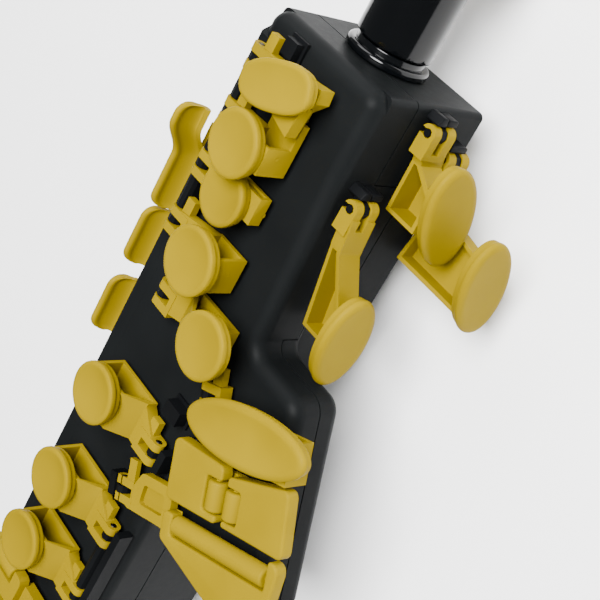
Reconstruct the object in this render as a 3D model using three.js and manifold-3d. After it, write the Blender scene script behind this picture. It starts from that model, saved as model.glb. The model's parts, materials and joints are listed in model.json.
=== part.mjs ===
// Digital wind controller with the key layout of a saxophone, in millimetres.
// It lies on its back: +X to the right seen from the keys, +Y towards the mouthpiece,
// +Z out of the key face. The origin is the middle of the rear face of the case.

import * as THREE from "three";
import { mergeVertices } from "three/addons/utils/BufferGeometryUtils.js";
import Module from "manifold-3d";

const wasm = await Module();
wasm.setup();

// Clearances and sizes that every piece shares
const gap = 0.3;
const overrun = 1;
const weld = 0.0001;
const arcSteps = 2;
const filletSteps = 2;
const padSides = 18;
const pinSides = 8;
const neckSides = 18;

// Pitches along the case, from its top end through the key hinges to its bottom end
const hingePitches = {
  front_f_key: 14.65,
  b_key: 18.35,
  bis_key: 18.5,
  a_key: 20.6,
  g_key: 21.2,
  f_key: 42.4,
  e_key: 36.9,
  d_key: 28.7,
  low_e_flat_key: 21.7,
  low_c_key: 16.5,
};
const bottomMargin = 15.5;

// Case
const bodyWidth = 52;
const bodyLength = Object.values(hingePitches).reduce((sum, step) => sum + step, bottomMargin);
const bodyDepth = 47.5;
const wall = 2.2;
const planCornerR = 5.4;
const edgeFilletR = 5;
const backCornerR = 2;
const backFilletR = 1;
const squareEdge = { width: 6, endInset: 9.5, endSlope: 4 };
const frontShellDepth = 16.5;
const wingShellDepth = 10.2;
const tongue = { depth: 31.5, above: 5.2, below: 36.8 };
const side = bodyWidth / 2;
const topEnd = bodyLength / 2;
const bottomEnd = -topEnd;
const face = bodyDepth;
const parting = face - frontShellDepth;
const hingeY = {};
Object.entries(hingePitches).reduce((y, [name, step]) => {
  hingeY[name] = y - step;
  return hingeY[name];
}, topEnd);

// Side wing and the flare that leads to it, reaches measured from the right side face
const wing = {
  depth: 20.2,
  flareFromTop: 21.5,
  flareReach: 4.5,
  shoulderAboveG: 7.8,
  shoulderReach: 28.1,
  length: 70,
  footReach: 56.6,
  rootLength: 12,
  rootInset: 0.5,
  shoulderR: 7,
  footR: 8,
  innerR: 4.5,
};
const flareTopY = topEnd - wing.flareFromTop;
const shoulderY = hingeY.g_key + wing.shoulderAboveG;
const footY = shoulderY - wing.length;
const rootY = footY - wing.rootLength;

// Neck and mouthpiece
const neckDrop = 25.5;
const neckHeight = face - neckDrop;
const collar = {
  flangeR: 13.4,
  flangeLength: 2.8,
  neckR: 11,
  neckLength: 2.1,
  tubeR: 8.5,
  lipR: 9.6,
  tubeLength: 4.2,
};
const tenon = {
  radius: 6.5,
  bore: 4,
  reach: 33.5,
  inside: 15.5,
  nippleR: 2.2,
  nippleBore: 1.2,
  nippleLength: 8,
};
const cork = { radius: 7.7, seatR: 5.9, start: 8.5, length: 22 };
const mouthpieceLength = 88;
const mouthpiece = {
  radius: 12.25,
  tipR: 8.6,
  taperStart: 43,
  boreSlack: 0.3,
  boreDeep: 31,
  chamberR: 6.2,
  chamberDeep: 47,
};
const beak = { start: 50, tipDrop: 6.6 };
const table = {
  drop: 8.6,
  windowStart: 44,
  windowEnd: 81,
  windowHalf: 5.2,
  ceiling: 4.5,
  tipCeiling: 5.4,
};
const reed = { start: 19, halfWidth: 6.6, thick: 2.4, tip: 0.5, cutStart: 52, endInset: 0.5 };
const ligature = {
  start: 25,
  length: 17,
  bore: 13.6,
  skin: 1,
  lugWidth: 5,
  lugHeight: 5.5,
  lugGap: 1.6,
};
const ligatureScrew = { radius: 1.3, headR: 3, headLength: 6, inset: 4.2, boss: 1.6 };

// Hinges of the keys
const pinR = 1;
const boreR = pinR + gap;
const hinge = {
  height: 4.3,
  knuckleR: 2.4,
  fingerInner: 1.5,
  fingerOuter: 4.3,
  slotDepth: 5.5,
  root: 2,
};
const lug = { radius: 2.2, railNear: 3.1, railFar: 6, railHigh: 4.2, railLow: -3.6, railTop: 1.2 };
const rodCoverR = 1.9;
const tab = { near: 2.4, far: 6.2, reach: 9.6, low: -1.2, high: 1.3 };
const stopBlock = { skirt: 1, skirtHigh: 1 };
const stops = {
  front_f_key: { from: 6.8, to: 12, near: 5.9, far: 11.2, top: -0.4 },
  f_key: { from: -3, to: 4.5, near: -18.4, far: -13.4, top: 1.2 },
};
const keyFloor = -1.9;
const armTop = 2.2;
const skin = 1.3;
const pad = { thick: 4.4, dish: 0.7, rim: 1.1, edge: 0.9 };
const padHeight = 18;

// Stack keys: hinge place, pad and box measured from the middle of the two hinge fingers
const leftHingeInset = 7.5;
const rightHingeInset = 7;
const gHingeInset = 17.6;
const leftHingeX = -side + leftHingeInset;
const rightHingeX = side - rightHingeInset;
const gHingeX = -side + gHingeInset;
const leftKeys = {
  front_f_key: {
    padReach: 21.7, padShift: 2.1, padLong: 14.4, padShort: 7.6, padTurn: 22, padTop: 16,
    boxFrom: 15, boxTo: 27.5, boxLow: -4.8, boxHigh: 5, riseFrom: 8, riseTo: 14, trayReach: 0,
  },
  b_key: {
    padReach: 19.6, padShift: 0.1, padLong: 10.2, padShort: 10.2, padTurn: 0, padTop: padHeight,
    boxFrom: 15.5, boxTo: 29.3, boxLow: -4, boxHigh: 4.9, riseFrom: 8, riseTo: 13, trayReach: 8.2,
  },
  bis_key: {
    padReach: 18.6, padShift: 0.4, padLong: 9.3, padShort: 9.3, padTurn: 0, padTop: 11.3,
    boxFrom: 16.5, boxTo: 29.7, boxLow: -2, boxHigh: 7, riseFrom: 8, riseTo: 13, trayReach: 0,
  },
  a_key: {
    padReach: 25, padShift: 1.9, padLong: 10.7, padShort: 10.7, padTurn: 0, padTop: padHeight,
    boxFrom: 18.5, boxTo: 32.4, boxLow: -4.2, boxHigh: 7.6, riseFrom: 9, riseTo: 15, trayReach: 0,
  },
  g_key: {
    padReach: 34.1, padShift: 6.9, padLong: 10.4, padShort: 10.4, padTurn: 0, padTop: padHeight,
    boxFrom: 13, boxTo: 32.8, boxLow: -1, boxHigh: 10.4, riseFrom: 13.5, riseTo: 22, trayReach: 0,
  },
};
const rightKey = {
  padReach: 22.9, padShift: -5.4, padLong: 10.2, padShort: 10.2, padTurn: 0, padTop: padHeight,
  boxFrom: 9.6, boxTo: 31, boxLow: -11.5, boxHigh: 3.3, riseFrom: 9.9, riseTo: 15.5, trayReach: 0,
};
const rightKeys = ["f_key", "e_key", "d_key"];
const frontLobe = {
  low: -0.3,
  high: 5.2,
  root: [20.5, -0.9],
  back: [24.8, 7.2],
  tipHigh: [32.5, 8.2],
  tipLow: [33, 4],
  neck: [29, -0.5],
};
const frontRib = { low: 2.9, left: [22.6, -6.4], tip: [30.6, -8.4], right: [31.4, 1.4], root: [20.5, -0.9] };

// Pinky table of the left hand, in a frame turned about Z
const tableTurnDeg = 23.5;
const tableBelowShoulder = 42;
const plate = { low: 5.3, high: 9.5, cornerR: 2.2 };
const roller = { radius: 3.2, stubR: 1.1, stubReach: 2.2, axisHeight: 7.4, slack: 0.6, edge: 0.8 };
const gSharp = {
  u: 33.7, v: 10.2, padReach: 27.8, padShift: -3.6, padLong: 24.6, padShort: 9.3, padTurn: 0.5,
  padTop: 15.5, boxFrom: 8, boxTo: 43.5, boxLow: -12.8, boxHigh: -0.2, riseFrom: 9, riseTo: 14,
  trayReach: 0, floor: -1.8,
};
const tableRod = { u: 31, height: 2.7, knuckleR: 2.2, low: -25, high: -5.2, postHalf: 1.5 };
const cSharp = {
  left: 28.2,
  right: 51,
  low: -24.2,
  topLeft: -4.2,
  topRight: -6.2,
  notchLeft: 44.6,
  notchLow: -21.6,
  notchHigh: -10.9,
  rollerU: 48.3,
  knuckles: [[-22.6, -18.6], [-15.6, -12]],
};
const lowB = {
  left: 53.5,
  rightTop: 77.9,
  rightLow: 79.7,
  lowLeft: -23.9,
  lowRight: -24.1,
  topLeft: -8.3,
  topRight: -3.6,
  notchRight: 59.5,
  notchLow: -21.8,
  notchHigh: -11.4,
  rollerU: 56.1,
  armLow: 1.7,
  armHigh: 3.5,
  armTo: 60,
  knuckle: [-11, -7.6],
  armEdge: [-10.8, -8.9],
};
const lowBFlat = {
  hingeU: 2.5,
  hingeV: -31.5,
  left: 28.6,
  topLeft: -27.9,
  topLeftR: 2,
  right: 79.5,
  topRight: -25.4,
  topRightR: 3,
  footRight: 74.8,
  footV: -57.8,
  footLeft: 28.5,
  leftV: -37.2,
  cornerR: 12,
  notchLeft: 33,
  notchRight: 74.9,
  notchLow: -34.9,
  rollerV: -31.3,
  joinTo: 32.6,
  joinTop: 6,
};
const loop = {
  start: 5,
  neck: 8.6,
  top: 12,
  end: 27.2,
  low: -36.4,
  high: -22.8,
  bar: 3.4,
  shoulder: -28.2,
  under: 2.4,
  over: 5.4,
  outerR: 2,
  innerR: 1,
};

// Palm keys on the right side face: hinge place from the top end and the key face, then the arm
const palmPin = { radius: 1.2, half: 5.2, postHalf: 1.25 };
const palmHook = { radius: 2.8, mouth: 1.9, inner: 1.6, outer: 4.8 };
const palmKeys = {
  palm_key_1: {
    fromTop: 6.5, depth: 26, stand: 3.6,
    padReach: 19, padShift: 6, padLong: 18.6, padShort: 9.8, padTurn: 32, padTop: 15.4,
    floorFrom: -1.6, floorTo: -1.6, armHigh: 2.2, riseFrom: 9.4, riseTo: 15,
    open: [[9, -2.6], [27, -1.6]], closed: [[27, 8], [9, 7]],
  },
  palm_key_2: {
    fromTop: 14.2, depth: 38.9, stand: 3.6,
    padReach: 23.3, padShift: 1.6, padLong: 17.5, padShort: 9.6, padTurn: 28, padTop: 32.6,
    floorFrom: -1.6, floorTo: -1.6, armHigh: 3, riseFrom: 17, riseTo: 21,
    open: [[16, 7.5], [36.5, 3.5]], closed: [[36.5, 10], [16, 12]],
  },
  palm_key_3: {
    fromTop: 32.7, depth: 10.2, stand: 5,
    padReach: 35.8, padShift: 3.4, padLong: 15.8, padShort: 9.8, padTurn: 10, padTop: 17.5,
    floorFrom: -1.2, floorTo: 1.3, armHigh: 3.4, riseFrom: 14, riseTo: 30,
    open: [[12, -3], [40.5, 1.4]], closed: [[40.5, 9.5], [12, 6.2]],
  },
};
const palmY = (k) => topEnd - k.fromTop;

// Side keys of the right hand, on the left side face, measured from a place above the F hinge
const sideAboveF = 8.2;
const sideY = hingeY.f_key + sideAboveF;
const sideRod = { standOff: 3.6, depth: 10, low: -9, high: 68 };
const sideTouch = {
  footOut: 1.7,
  footHigh: 2,
  bendOut: 5.1,
  bendHigh: 7.2,
  topOut: 6,
  topHigh: 13.4,
  thick: 2,
};
const sideKeys = {
  side_key_1: { low: 49.6, high: 82, knuckles: [[51.4, 55.6], [62.4, 67]], flare: 12.5 },
  side_key_2: { low: 27.2, high: 48.6, knuckles: [[27.2, 32], [43, 48]], flare: 0 },
  side_key_3: { low: -0.8, high: 20.8, knuckles: [[-0.8, 4], [16, 20.8]], flare: 0 },
};
const sideLugs = [[56, 62], [21.2, 26.8], [-9.4, -1.2]];
const flare = { low: 5.5, startLow: 6, startHigh: 12, topHigh: 20, crown: 5 };

// Pinky keys of the right hand
const pinkyKeys = {
  low_e_flat_key: { plateLow: -7.2, plateHigh: 5.6, notchAt: -1 },
  low_c_key: { plateLow: -5.6, plateHigh: 7.2, notchAt: 1 },
};
const pinkyPlate = { from: 20, to: 46, rollerFrom: 25, rollerTo: 41, rollerInset: 3.4, joinFrom: 12 };

// Back: octave key and thumb rest below the top end, strap ring below G, thumb hook below F
const octave = {
  fromTop: 10.5,
  stand: 3.4,
  half: 4.5,
  knuckleR: 2.2,
  touchNear: 9.5,
  touchFar: 25,
  touchHalf: 11,
  low: 4.6,
  high: 2.4,
};
const octaveY = topEnd - octave.fromTop;
const thumbRest = { fromTop: 46, radius: 9.5, height: 3.4, edge: 1.2 };
const strap = {
  belowG: 12.2,
  baseWidth: 16,
  baseLength: 20,
  baseHigh: 2.4,
  ringR: 6.2,
  wireR: 1.5,
  ringOut: 8.6,
};
const hook = {
  belowF: 13.8,
  baseHalf: 10,
  baseLength: 30,
  baseHigh: 2.5,
  armOut: 17,
  reach: 17,
  thick: 3.2,
  bendR: 6,
};

// Inside: board, battery, breath sensor and the sockets in the bottom end
const board = { thick: 1.6, sideSlack: 3.3, fromTop: 29.5, endSlack: 1.2 };
const battery = { halfWidth: 16, fromBottom: 65.5, length: 70, thick: 9.5 };
const sensor = { width: 11, length: 11, height: 10, portR: 2.2, portBore: 1, portLength: 6 };
const tube = { radius: 3.7, bore: 2.5 };
const usb = { x: 3, width: 9, height: 3.3, length: 8, skin: 0.5 };
const jack = { x: 14.5, width: 7, height: 6, length: 7.5, noseR: 2.9, bore: 1.75 };
const button = {
  x: -12,
  radius: 3.5,
  proud: 1,
  length: 6,
  flangeR: 4.6,
  flangeLength: 1.2,
};
const buttonSwitch = { width: 6, length: 4, travel: 1 };
const screw = {
  radius: 1.5,
  headR: 2.7,
  headLength: 2.2,
  fromSide: 9.5,
  fromTop: 36.5,
  fromBottom: 15.5,
  recess: 10,
  grip: 8,
};
const boss = { rearR: 4.8, frontR: 3.6, headSlack: 0.4 };

const yellow = new THREE.MeshStandardMaterial({ name: "key_plastic", color: 0xd8b81e, roughness: 0.42 });
const black = new THREE.MeshStandardMaterial({ name: "case_plastic", color: 0x2a2d2f, roughness: 0.55 });
const gloss = new THREE.MeshStandardMaterial({ name: "gloss_black", color: 0x0c0e10, roughness: 0.12 });
const steel = new THREE.MeshStandardMaterial({
  name: "steel",
  color: 0xb8b8b8,
  roughness: 0.3,
  metalness: 1,
});
const corkFinish = new THREE.MeshStandardMaterial({ name: "cork", color: 0xb98a5a, roughness: 0.9 });
const cane = new THREE.MeshStandardMaterial({ name: "cane", color: 0xdcc48a, roughness: 0.6 });
const boardFinish = new THREE.MeshStandardMaterial({ name: "board", color: 0x1f6b3a, roughness: 0.5 });
const foil = new THREE.MeshStandardMaterial({ name: "battery_wrap", color: 0x3a4a66, roughness: 0.6 });
const silicone = new THREE.MeshStandardMaterial({ name: "silicone", color: 0xc9cfd2, roughness: 0.6 });

const axisX = new THREE.Vector3(1, 0, 0);
const axisY = new THREE.Vector3(0, 1, 0);
const axisZ = new THREE.Vector3(0, 0, 1);

// A closed geometry becomes a solid that can be joined and cut
function solidOf(geometry) {
  const bare = new THREE.BufferGeometry();
  bare.setAttribute("position", geometry.getAttribute("position").clone());
  if (geometry.index) bare.setIndex(geometry.index.clone());
  const merged = mergeVertices(bare, weld);
  const corner = merged.getAttribute("position");
  const index = merged.index.array;
  const kept = [];
  let volume = 0;
  const [a, b, c] = [new THREE.Vector3(), new THREE.Vector3(), new THREE.Vector3()];
  for (let i = 0; i < index.length; i += 3) {
    const [p, q, r] = [index[i], index[i + 1], index[i + 2]];
    if (p === q || q === r || r === p) continue;
    kept.push(p, q, r);
    a.fromBufferAttribute(corner, p);
    b.fromBufferAttribute(corner, q);
    c.fromBufferAttribute(corner, r);
    volume += a.dot(b.cross(c));
  }
  if (volume < 0) kept.reverse();
  const vertProperties = Float32Array.from(corner.array);
  return new wasm.Manifold(new wasm.Mesh({ numProp: 3, vertProperties, triVerts: Uint32Array.from(kept) }));
}

function geometryOf(solid) {
  const mesh = solid.getMesh();
  const geometry = new THREE.BufferGeometry();
  geometry.setAttribute("position", new THREE.BufferAttribute(Float32Array.from(mesh.vertProperties), 3));
  geometry.setIndex(Array.from(mesh.triVerts));
  geometry.computeVertexNormals();
  return geometry;
}

const join = (...solids) => solids.reduce((whole, next) => whole.add(next));
const cut = (solid, ...tools) => tools.reduce((left, tool) => left.subtract(tool), solid);
const placed = (solid, matrix) => solidOf(geometryOf(solid).applyMatrix4(matrix));

function block(x0, x1, y0, y1, z0, z1) {
  const geometry = new THREE.BoxGeometry(x1 - x0, y1 - y0, z1 - z0);
  geometry.translate((x0 + x1) / 2, (y0 + y1) / 2, (z0 + z1) / 2);
  return solidOf(geometry);
}

// Outline carried along an axis: (x, y) along z, (x, z) along y, or (y, z) along x
function prism(outline, along, from, to) {
  const shape = outline instanceof THREE.Shape
    ? outline
    : new THREE.Shape(outline.map(([p, q]) => new THREE.Vector2(p, q)));
  const geometry = new THREE.ExtrudeGeometry(shape, { depth: to - from, bevelEnabled: false });
  if (along === "z") geometry.translate(0, 0, from);
  if (along === "y") geometry.rotateX(Math.PI / 2).translate(0, to, 0);
  if (along === "x") {
    geometry.applyMatrix4(new THREE.Matrix4().makeBasis(axisY, axisZ, axisX)).translate(from, 0, 0);
  }
  return solidOf(geometry);
}

function cylinder(from, to, radius, sides = pinSides) {
  const start = new THREE.Vector3(...from);
  const end = new THREE.Vector3(...to);
  const run = end.clone().sub(start);
  const geometry = new THREE.CylinderGeometry(radius, radius, run.length(), sides);
  geometry.applyQuaternion(new THREE.Quaternion().setFromUnitVectors(axisY, run.clone().normalize()));
  geometry.translate(...start.add(end).divideScalar(2));
  return solidOf(geometry);
}

// Profile of [radius, distance] turned about the neck's axis, distances from the top end of the case
function turned(profile) {
  const geometry = new THREE.LatheGeometry(profile.map(([r, d]) => new THREE.Vector2(r, d)), neckSides);
  return solidOf(geometry.translate(0, topEnd, neckHeight));
}

// Polygon whose corners [x, y, radius] are rounded
function rounded(corners) {
  const points = [];
  corners.forEach(([x, y, radius], i) => {
    const here = new THREE.Vector2(x, y);
    const before = new THREE.Vector2(...corners.at(i - 1)).sub(here).normalize();
    const after = new THREE.Vector2(...corners[(i + 1) % corners.length]).sub(here).normalize();
    if (!radius) {
      points.push(here);
      return;
    }
    const half = Math.acos(THREE.MathUtils.clamp(before.dot(after), -1, 1)) / 2;
    const middle = before.clone().add(after).normalize().multiplyScalar(radius / Math.sin(half)).add(here);
    const first = here.clone().addScaledVector(before, radius / Math.tan(half)).sub(middle);
    const last = here.clone().addScaledVector(after, radius / Math.tan(half)).sub(middle);
    const sweep = Math.atan2(first.cross(last), first.dot(last));
    for (let k = 0; k <= arcSteps; k += 1) {
      points.push(first.clone().rotateAround(new THREE.Vector2(), (sweep * k) / arcSteps).add(middle));
    }
  });
  return new THREE.Shape(points);
}

// Slab with rounded edges; inset draws its outline in
function filleted(shape, low, high, radius, inset) {
  const geometry = new THREE.ExtrudeGeometry(shape, {
    depth: high - low - 2 * radius,
    bevelThickness: radius,
    bevelSize: radius,
    bevelOffset: -radius - inset,
    bevelSegments: filletSteps,
  });
  return solidOf(geometry.translate(0, 0, low + radius));
}

// Height of a smooth rise between two levels, as a few points
function rise(from, to, low, high) {
  const points = [];
  for (let k = 0; k <= arcSteps; k += 1) {
    const t = k / arcSteps;
    points.push([from + (to - from) * t, low + (high - low) * (t * t * (3 - 2 * t))]);
  }
  return points;
}

// Round or oval touch with a dished top, its rim at height top
function dishedPad(k) {
  const { thick, dish, rim, edge } = pad;
  const profile = [[0, -thick], [1 - edge / k.padShort, -thick], [1, -thick + edge], [1, -edge],
    [1 - edge / k.padShort, 0], [1 - (edge + rim) / k.padShort, -dish / 2], [0, -dish]];
  const geometry = new THREE.LatheGeometry(profile.map(([r, h]) => new THREE.Vector2(r, h)), padSides);
  geometry.rotateX(Math.PI / 2).scale(k.padLong, k.padShort, 1).rotateZ(THREE.MathUtils.degToRad(k.padTurn));
  geometry.translate(k.padReach, k.padShift, k.padTop - hinge.height);
  return solidOf(geometry);
}

// Round nose and body of a hinge finger, its side outline in (along, height)
function fingerOutline(radius, reach) {
  const shape = new THREE.Shape();
  shape.moveTo(reach, -radius);
  shape.lineTo(0, -radius);
  shape.absarc(0, 0, radius, -Math.PI / 2, -Math.PI * 1.5, true);
  shape.lineTo(reach, radius);
  return shape;
}

// Lever key about its hinge axis (local Y): X along the arm, Z up; open is the hollow's open side
function leverKey(k, open) {
  const floor = k.floor ?? keyFloor;
  const roof = k.padTop - hinge.height - pad.thick;
  const fingers = hingeFingers();
  const arm = prism([
    [hinge.root, -hinge.fingerOuter],
    [hinge.root, hinge.fingerOuter],
    [k.boxFrom + skin, k.boxHigh],
    [k.boxFrom + skin, k.boxLow],
  ], "z", floor, armTop);
  const riseFrom = (inset) => Math.max(k.riseFrom, k.boxFrom + inset);
  const riseTo = Math.max(k.riseTo, k.boxFrom + 2 * skin);
  const outline = (inset) => [
    [k.boxFrom + inset, floor + inset],
    [k.boxTo - inset, floor + inset],
    [k.boxTo - inset, roof - inset],
    ...rise(riseFrom(inset), riseTo, armTop - inset, roof - inset).reverse(),
    [k.boxFrom + inset, armTop - inset],
  ];
  const box = prism(outline(0), "y", k.boxLow, k.boxHigh);
  const hollow = open > 0
    ? prism(outline(skin), "y", k.boxLow + skin, k.boxHigh + overrun)
    : prism(outline(skin), "y", k.boxLow - overrun, k.boxHigh - skin);
  const pieces = [fingers, arm, box, dishedPad(k)];
  if (k.trayReach > 0) {
    pieces.push(block(k.boxFrom, k.boxTo, k.boxHigh - skin, k.boxHigh + k.trayReach, floor, floor + skin));
    pieces.push(block(k.boxTo - skin, k.boxTo, k.boxHigh - skin, k.boxHigh + k.trayReach,
      floor, floor + 2 * skin));
  }
  pieces.push(open > 0
    ? block(tab.near, tab.far, 0, tab.reach, tab.low, tab.high)
    : block(tab.near, tab.far, -tab.reach, 0, tab.low, tab.high));
  return cut(join(...pieces), hollow, hingeSlot(), hingeBore());
}

// The two fingers of a hinge as one block, and the slot and the bore cut in it
function hingeFingers() {
  const outline = fingerOutline(hinge.knuckleR, hinge.slotDepth + hinge.root);
  return prism(outline, "y", -hinge.fingerOuter, hinge.fingerOuter);
}

function hingeSlot() {
  const reach = hinge.knuckleR + overrun;
  return block(-reach, hinge.slotDepth, -hinge.fingerInner, hinge.fingerInner, -reach, reach);
}

function hingeBore() {
  const half = hinge.fingerOuter + overrun;
  return cylinder([0, -half, 0], [0, half, 0], boreR);
}

// Case lug between the fingers of a key, in the key's own frame
function keyLug() {
  const half = hinge.fingerInner - gap;
  return join(
    cylinder([0, -half, 0], [0, half, 0], lug.radius),
    block(-lug.radius, lug.radius, -half, half, -lugDown, 0),
  );
}

// The same lug with a rail behind it
function railedLug() {
  const half = hinge.fingerInner - gap;
  return join(
    keyLug(),
    block(-lug.railFar, -lug.railNear, lug.railLow, lug.railHigh, -lugDown, lug.railTop),
    block(-lug.railNear - overrun, -lug.radius + gap, -half, half, -lugDown, -lug.radius / 2),
  );
}

// Covers of a rod between the fingers of neighbouring keys, each down to the key face
function rodCovers(x, keys) {
  return keys.slice(1).map((name, i) => {
    const from = hingeY[name] + hinge.fingerOuter + gap;
    const to = hingeY[keys[i]] - hinge.fingerOuter - gap;
    return join(
      cylinder([x, from, hingeZ], [x, to, hingeZ], rodCoverR),
      block(x - rodCoverR, x + rodCoverR, from, to, hingeZ - lugDown, hingeZ),
    );
  });
}

// Stop beside the tab of a key, in the key's own frame
function tabStop({ from, to, near, far, top }) {
  const { skirt, skirtHigh } = stopBlock;
  return join(
    block(from, to, near, far, -lugDown, top),
    block(from - skirt, to + skirt, near - skirt, far + skirt, -lugDown, skirtHigh - hinge.height),
  );
}

const framed = (x, y, z, turn) => new THREE.Matrix4().makeRotationZ(turn).setPosition(x, y, z);
const tableTurn = THREE.MathUtils.degToRad(tableTurnDeg);
const tableMatrix = framed(0, shoulderY - tableBelowShoulder, 0, tableTurn);
const hingeZ = face + hinge.height;
const lugDown = hinge.height + wall / 2;
const keySeats = [];
for (const [name, k] of Object.entries(leftKeys)) {
  const x = name === "g_key" ? gHingeX : leftHingeX;
  keySeats.push({ name, key: k, matrix: framed(x, hingeY[name], hingeZ, 0), open: 1 });
}
for (const name of rightKeys) {
  const matrix = framed(rightHingeX, hingeY[name], hingeZ, Math.PI);
  keySeats.push({ name, key: rightKey, matrix, open: -1 });
}
const gSharpPlace = new THREE.Vector3(gSharp.u, gSharp.v, 0).applyMatrix4(tableMatrix);
const gSharpMatrix = framed(gSharpPlace.x, gSharpPlace.y, hingeZ, tableTurn);
keySeats.push({ name: "g_sharp_key", key: gSharp, matrix: gSharpMatrix, open: 1 });

// Front F key has a lobe and a pointed rib beside its pad
function frontFKey(key) {
  const { low, high, root, back, tipHigh, tipLow, neck } = frontLobe;
  const lobe = prism([root, back, tipHigh, tipLow, neck], "z", low, high);
  const roof = key.padTop - hinge.height - pad.thick;
  const rib = prism([frontRib.left, frontRib.tip, frontRib.right, frontRib.root], "z", frontRib.low, roof);
  return join(leverKey(key, 1), lobe, rib);
}

// Hollow case, then its two shells
function caseOutline(cornerR) {
  return rounded([
    [-side, bottomEnd, cornerR],
    [side, bottomEnd, cornerR],
    [side, topEnd, cornerR],
    [-side, topEnd, cornerR],
  ]);
}

function wingOutline() {
  return rounded([
    [0, rootY, 0],
    [side - wing.rootInset, rootY, 0],
    [side - wing.rootInset, footY, wing.innerR],
    [side + wing.footReach, footY, wing.footR],
    [side + wing.shoulderReach, shoulderY, wing.shoulderR],
    [side + wing.flareReach, shoulderY, wing.innerR],
    [side - wing.rootInset, flareTopY, 0],
    [0, flareTopY, 0],
  ]);
}

// The front left edge of the case is square, its ends sloping down to the round corners
function squareEdgeStrip() {
  const end = topEnd - squareEdge.endInset;
  const foot = end + squareEdge.endSlope;
  return prism([
    [-foot, face - edgeFilletR],
    [foot, face - edgeFilletR],
    [end, face],
    [-end, face],
  ], "x", -side, -side + squareEdge.width);
}

// The front is rounded; the sides and the back meet in nearly sharp edges
function hollowCase() {
  const inside = edgeFilletR - wall;
  const wingLow = face - wing.depth;
  const outer = join(
    filleted(caseOutline(planCornerR), 0, face, edgeFilletR, 0),
    filleted(caseOutline(backCornerR), 0, face - edgeFilletR, backFilletR, 0),
    filleted(wingOutline(), wingLow, face, edgeFilletR - gap, 0),
    squareEdgeStrip(),
  );
  const inner = join(
    filleted(caseOutline(planCornerR), wall, face - wall, inside, wall),
    filleted(wingOutline(), wingLow + wall, face - wall, inside, wall),
  );
  return outer.subtract(inner);
}

// Everything in front of the parting line, taken further back by lift
function frontOfParting(lift) {
  const far = bodyLength;
  const { palm_key_3: key } = palmKeys;
  const [tongueLow, tongueHigh] = [palmY(key) - tongue.below, palmY(key) + tongue.above];
  const wingLine = side + wing.flareReach / 2;
  return join(
    block(-far, wingLine + lift, -far, far, parting - lift, far),
    block(0, far, shoulderY + wing.innerR - lift, far, parting - lift, far),
    block(0, far, -far, far, face - wingShellDepth - lift, far),
    block(side - wing.shoulderR, far, tongueLow - lift, tongueHigh + lift, face - tongue.depth - lift, far),
  );
}

const boardTop = parting - gap;
const boardBottom = boardTop - board.thick;
const screwX = side - screw.fromSide;
const screwPlaces = [
  [-screwX, topEnd - screw.fromTop],
  [screwX, topEnd - screw.fromTop],
  [-screwX, bottomEnd + screw.fromBottom],
  [screwX, bottomEnd + screw.fromBottom],
];
const screwHeadZ = screw.recess;
const screwTip = boardTop + screw.grip;
const sensorBottom = boardBottom - gap - sensor.height;
const usbZ = boardBottom - gap - usb.height / 2;
const jackZ = boardBottom - gap - jack.height / 2;
const buttonZ = boardBottom - gap - button.flangeR;
const sideRodX = -side - sideRod.standOff;
const sideRodZ = face - sideRod.depth;
const octaveZ = -octave.stand;

// Pin from the lowest to the highest key of a row, as long as their fingers
const rowPin = (x, lowest, highest) => ({
  from: [x, hingeY[lowest] - hinge.fingerOuter, hingeZ],
  to: [x, hingeY[highest] + hinge.fingerOuter, hingeZ],
});

const pinPlaces = {
  lh_rod: rowPin(leftHingeX, "a_key", "front_f_key"),
  g_pin: rowPin(gHingeX, "g_key", "g_key"),
  f_pin: rowPin(rightHingeX, "f_key", "f_key"),
  rh_rod: rowPin(rightHingeX, "low_c_key", "e_key"),
  side_rod: {
    from: [sideRodX, sideY + sideRod.low, sideRodZ],
    to: [sideRodX, sideY + sideRod.high, sideRodZ],
  },
  octave_pin: { from: [-octave.half, octaveY, octaveZ], to: [octave.half, octaveY, octaveZ] },
  g_sharp_pin: {
    from: [gSharp.u, gSharp.v - hinge.fingerOuter, hingeZ],
    to: [gSharp.u, gSharp.v + hinge.fingerOuter, hingeZ],
    turned: true,
  },
  table_rod: {
    from: [tableRod.u, tableRod.low, face + tableRod.height],
    to: [tableRod.u, tableRod.high, face + tableRod.height],
    turned: true,
  },
  low_b_flat_pin: {
    from: [lowBFlat.hingeU, lowBFlat.hingeV - hinge.fingerOuter, hingeZ],
    to: [lowBFlat.hingeU, lowBFlat.hingeV + hinge.fingerOuter, hingeZ],
    turned: true,
  },
};

function pinBore(name) {
  const { from, to, turned: inTable } = pinPlaces[name];
  const start = new THREE.Vector3(...from);
  const end = new THREE.Vector3(...to);
  const run = end.clone().sub(start).normalize();
  start.addScaledVector(run, -gap);
  end.addScaledVector(run, gap);
  const bore = cylinder(start.toArray(), end.toArray(), boreR);
  return inTable ? placed(bore, tableMatrix) : bore;
}

// Lugs of the table rod, in the table's frame
function tableLugs() {
  const axis = face + tableRod.height;
  const spans = [
    [tableRod.low, cSharp.knuckles[0][0] - gap],
    [cSharp.knuckles[0][1] + gap, cSharp.knuckles[1][0] - gap],
    [lowB.knuckle[1] + gap, tableRod.high],
  ];
  return spans.map(([from, to]) => join(
    cylinder([tableRod.u, from, axis], [tableRod.u, to, axis], tableRod.knuckleR),
    block(tableRod.u - tableRod.knuckleR, tableRod.u + tableRod.knuckleR,
      from, to, face - wall / 2, axis),
  ));
}

// Moulded pin that a palm key's two hooks snap on, on its post, in the key's own frame
function palmPost(k) {
  const { radius, half, postHalf } = palmPin;
  return join(
    cylinder([0, -half, 0], [0, half, 0], radius),
    cylinder([0, -postHalf, 0], [0, postHalf, 0], palmHook.radius - gap),
    block(-palmHook.radius + gap, palmHook.radius - gap, -postHalf, postHalf, -k.stand - wall, 0),
  );
}

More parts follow.
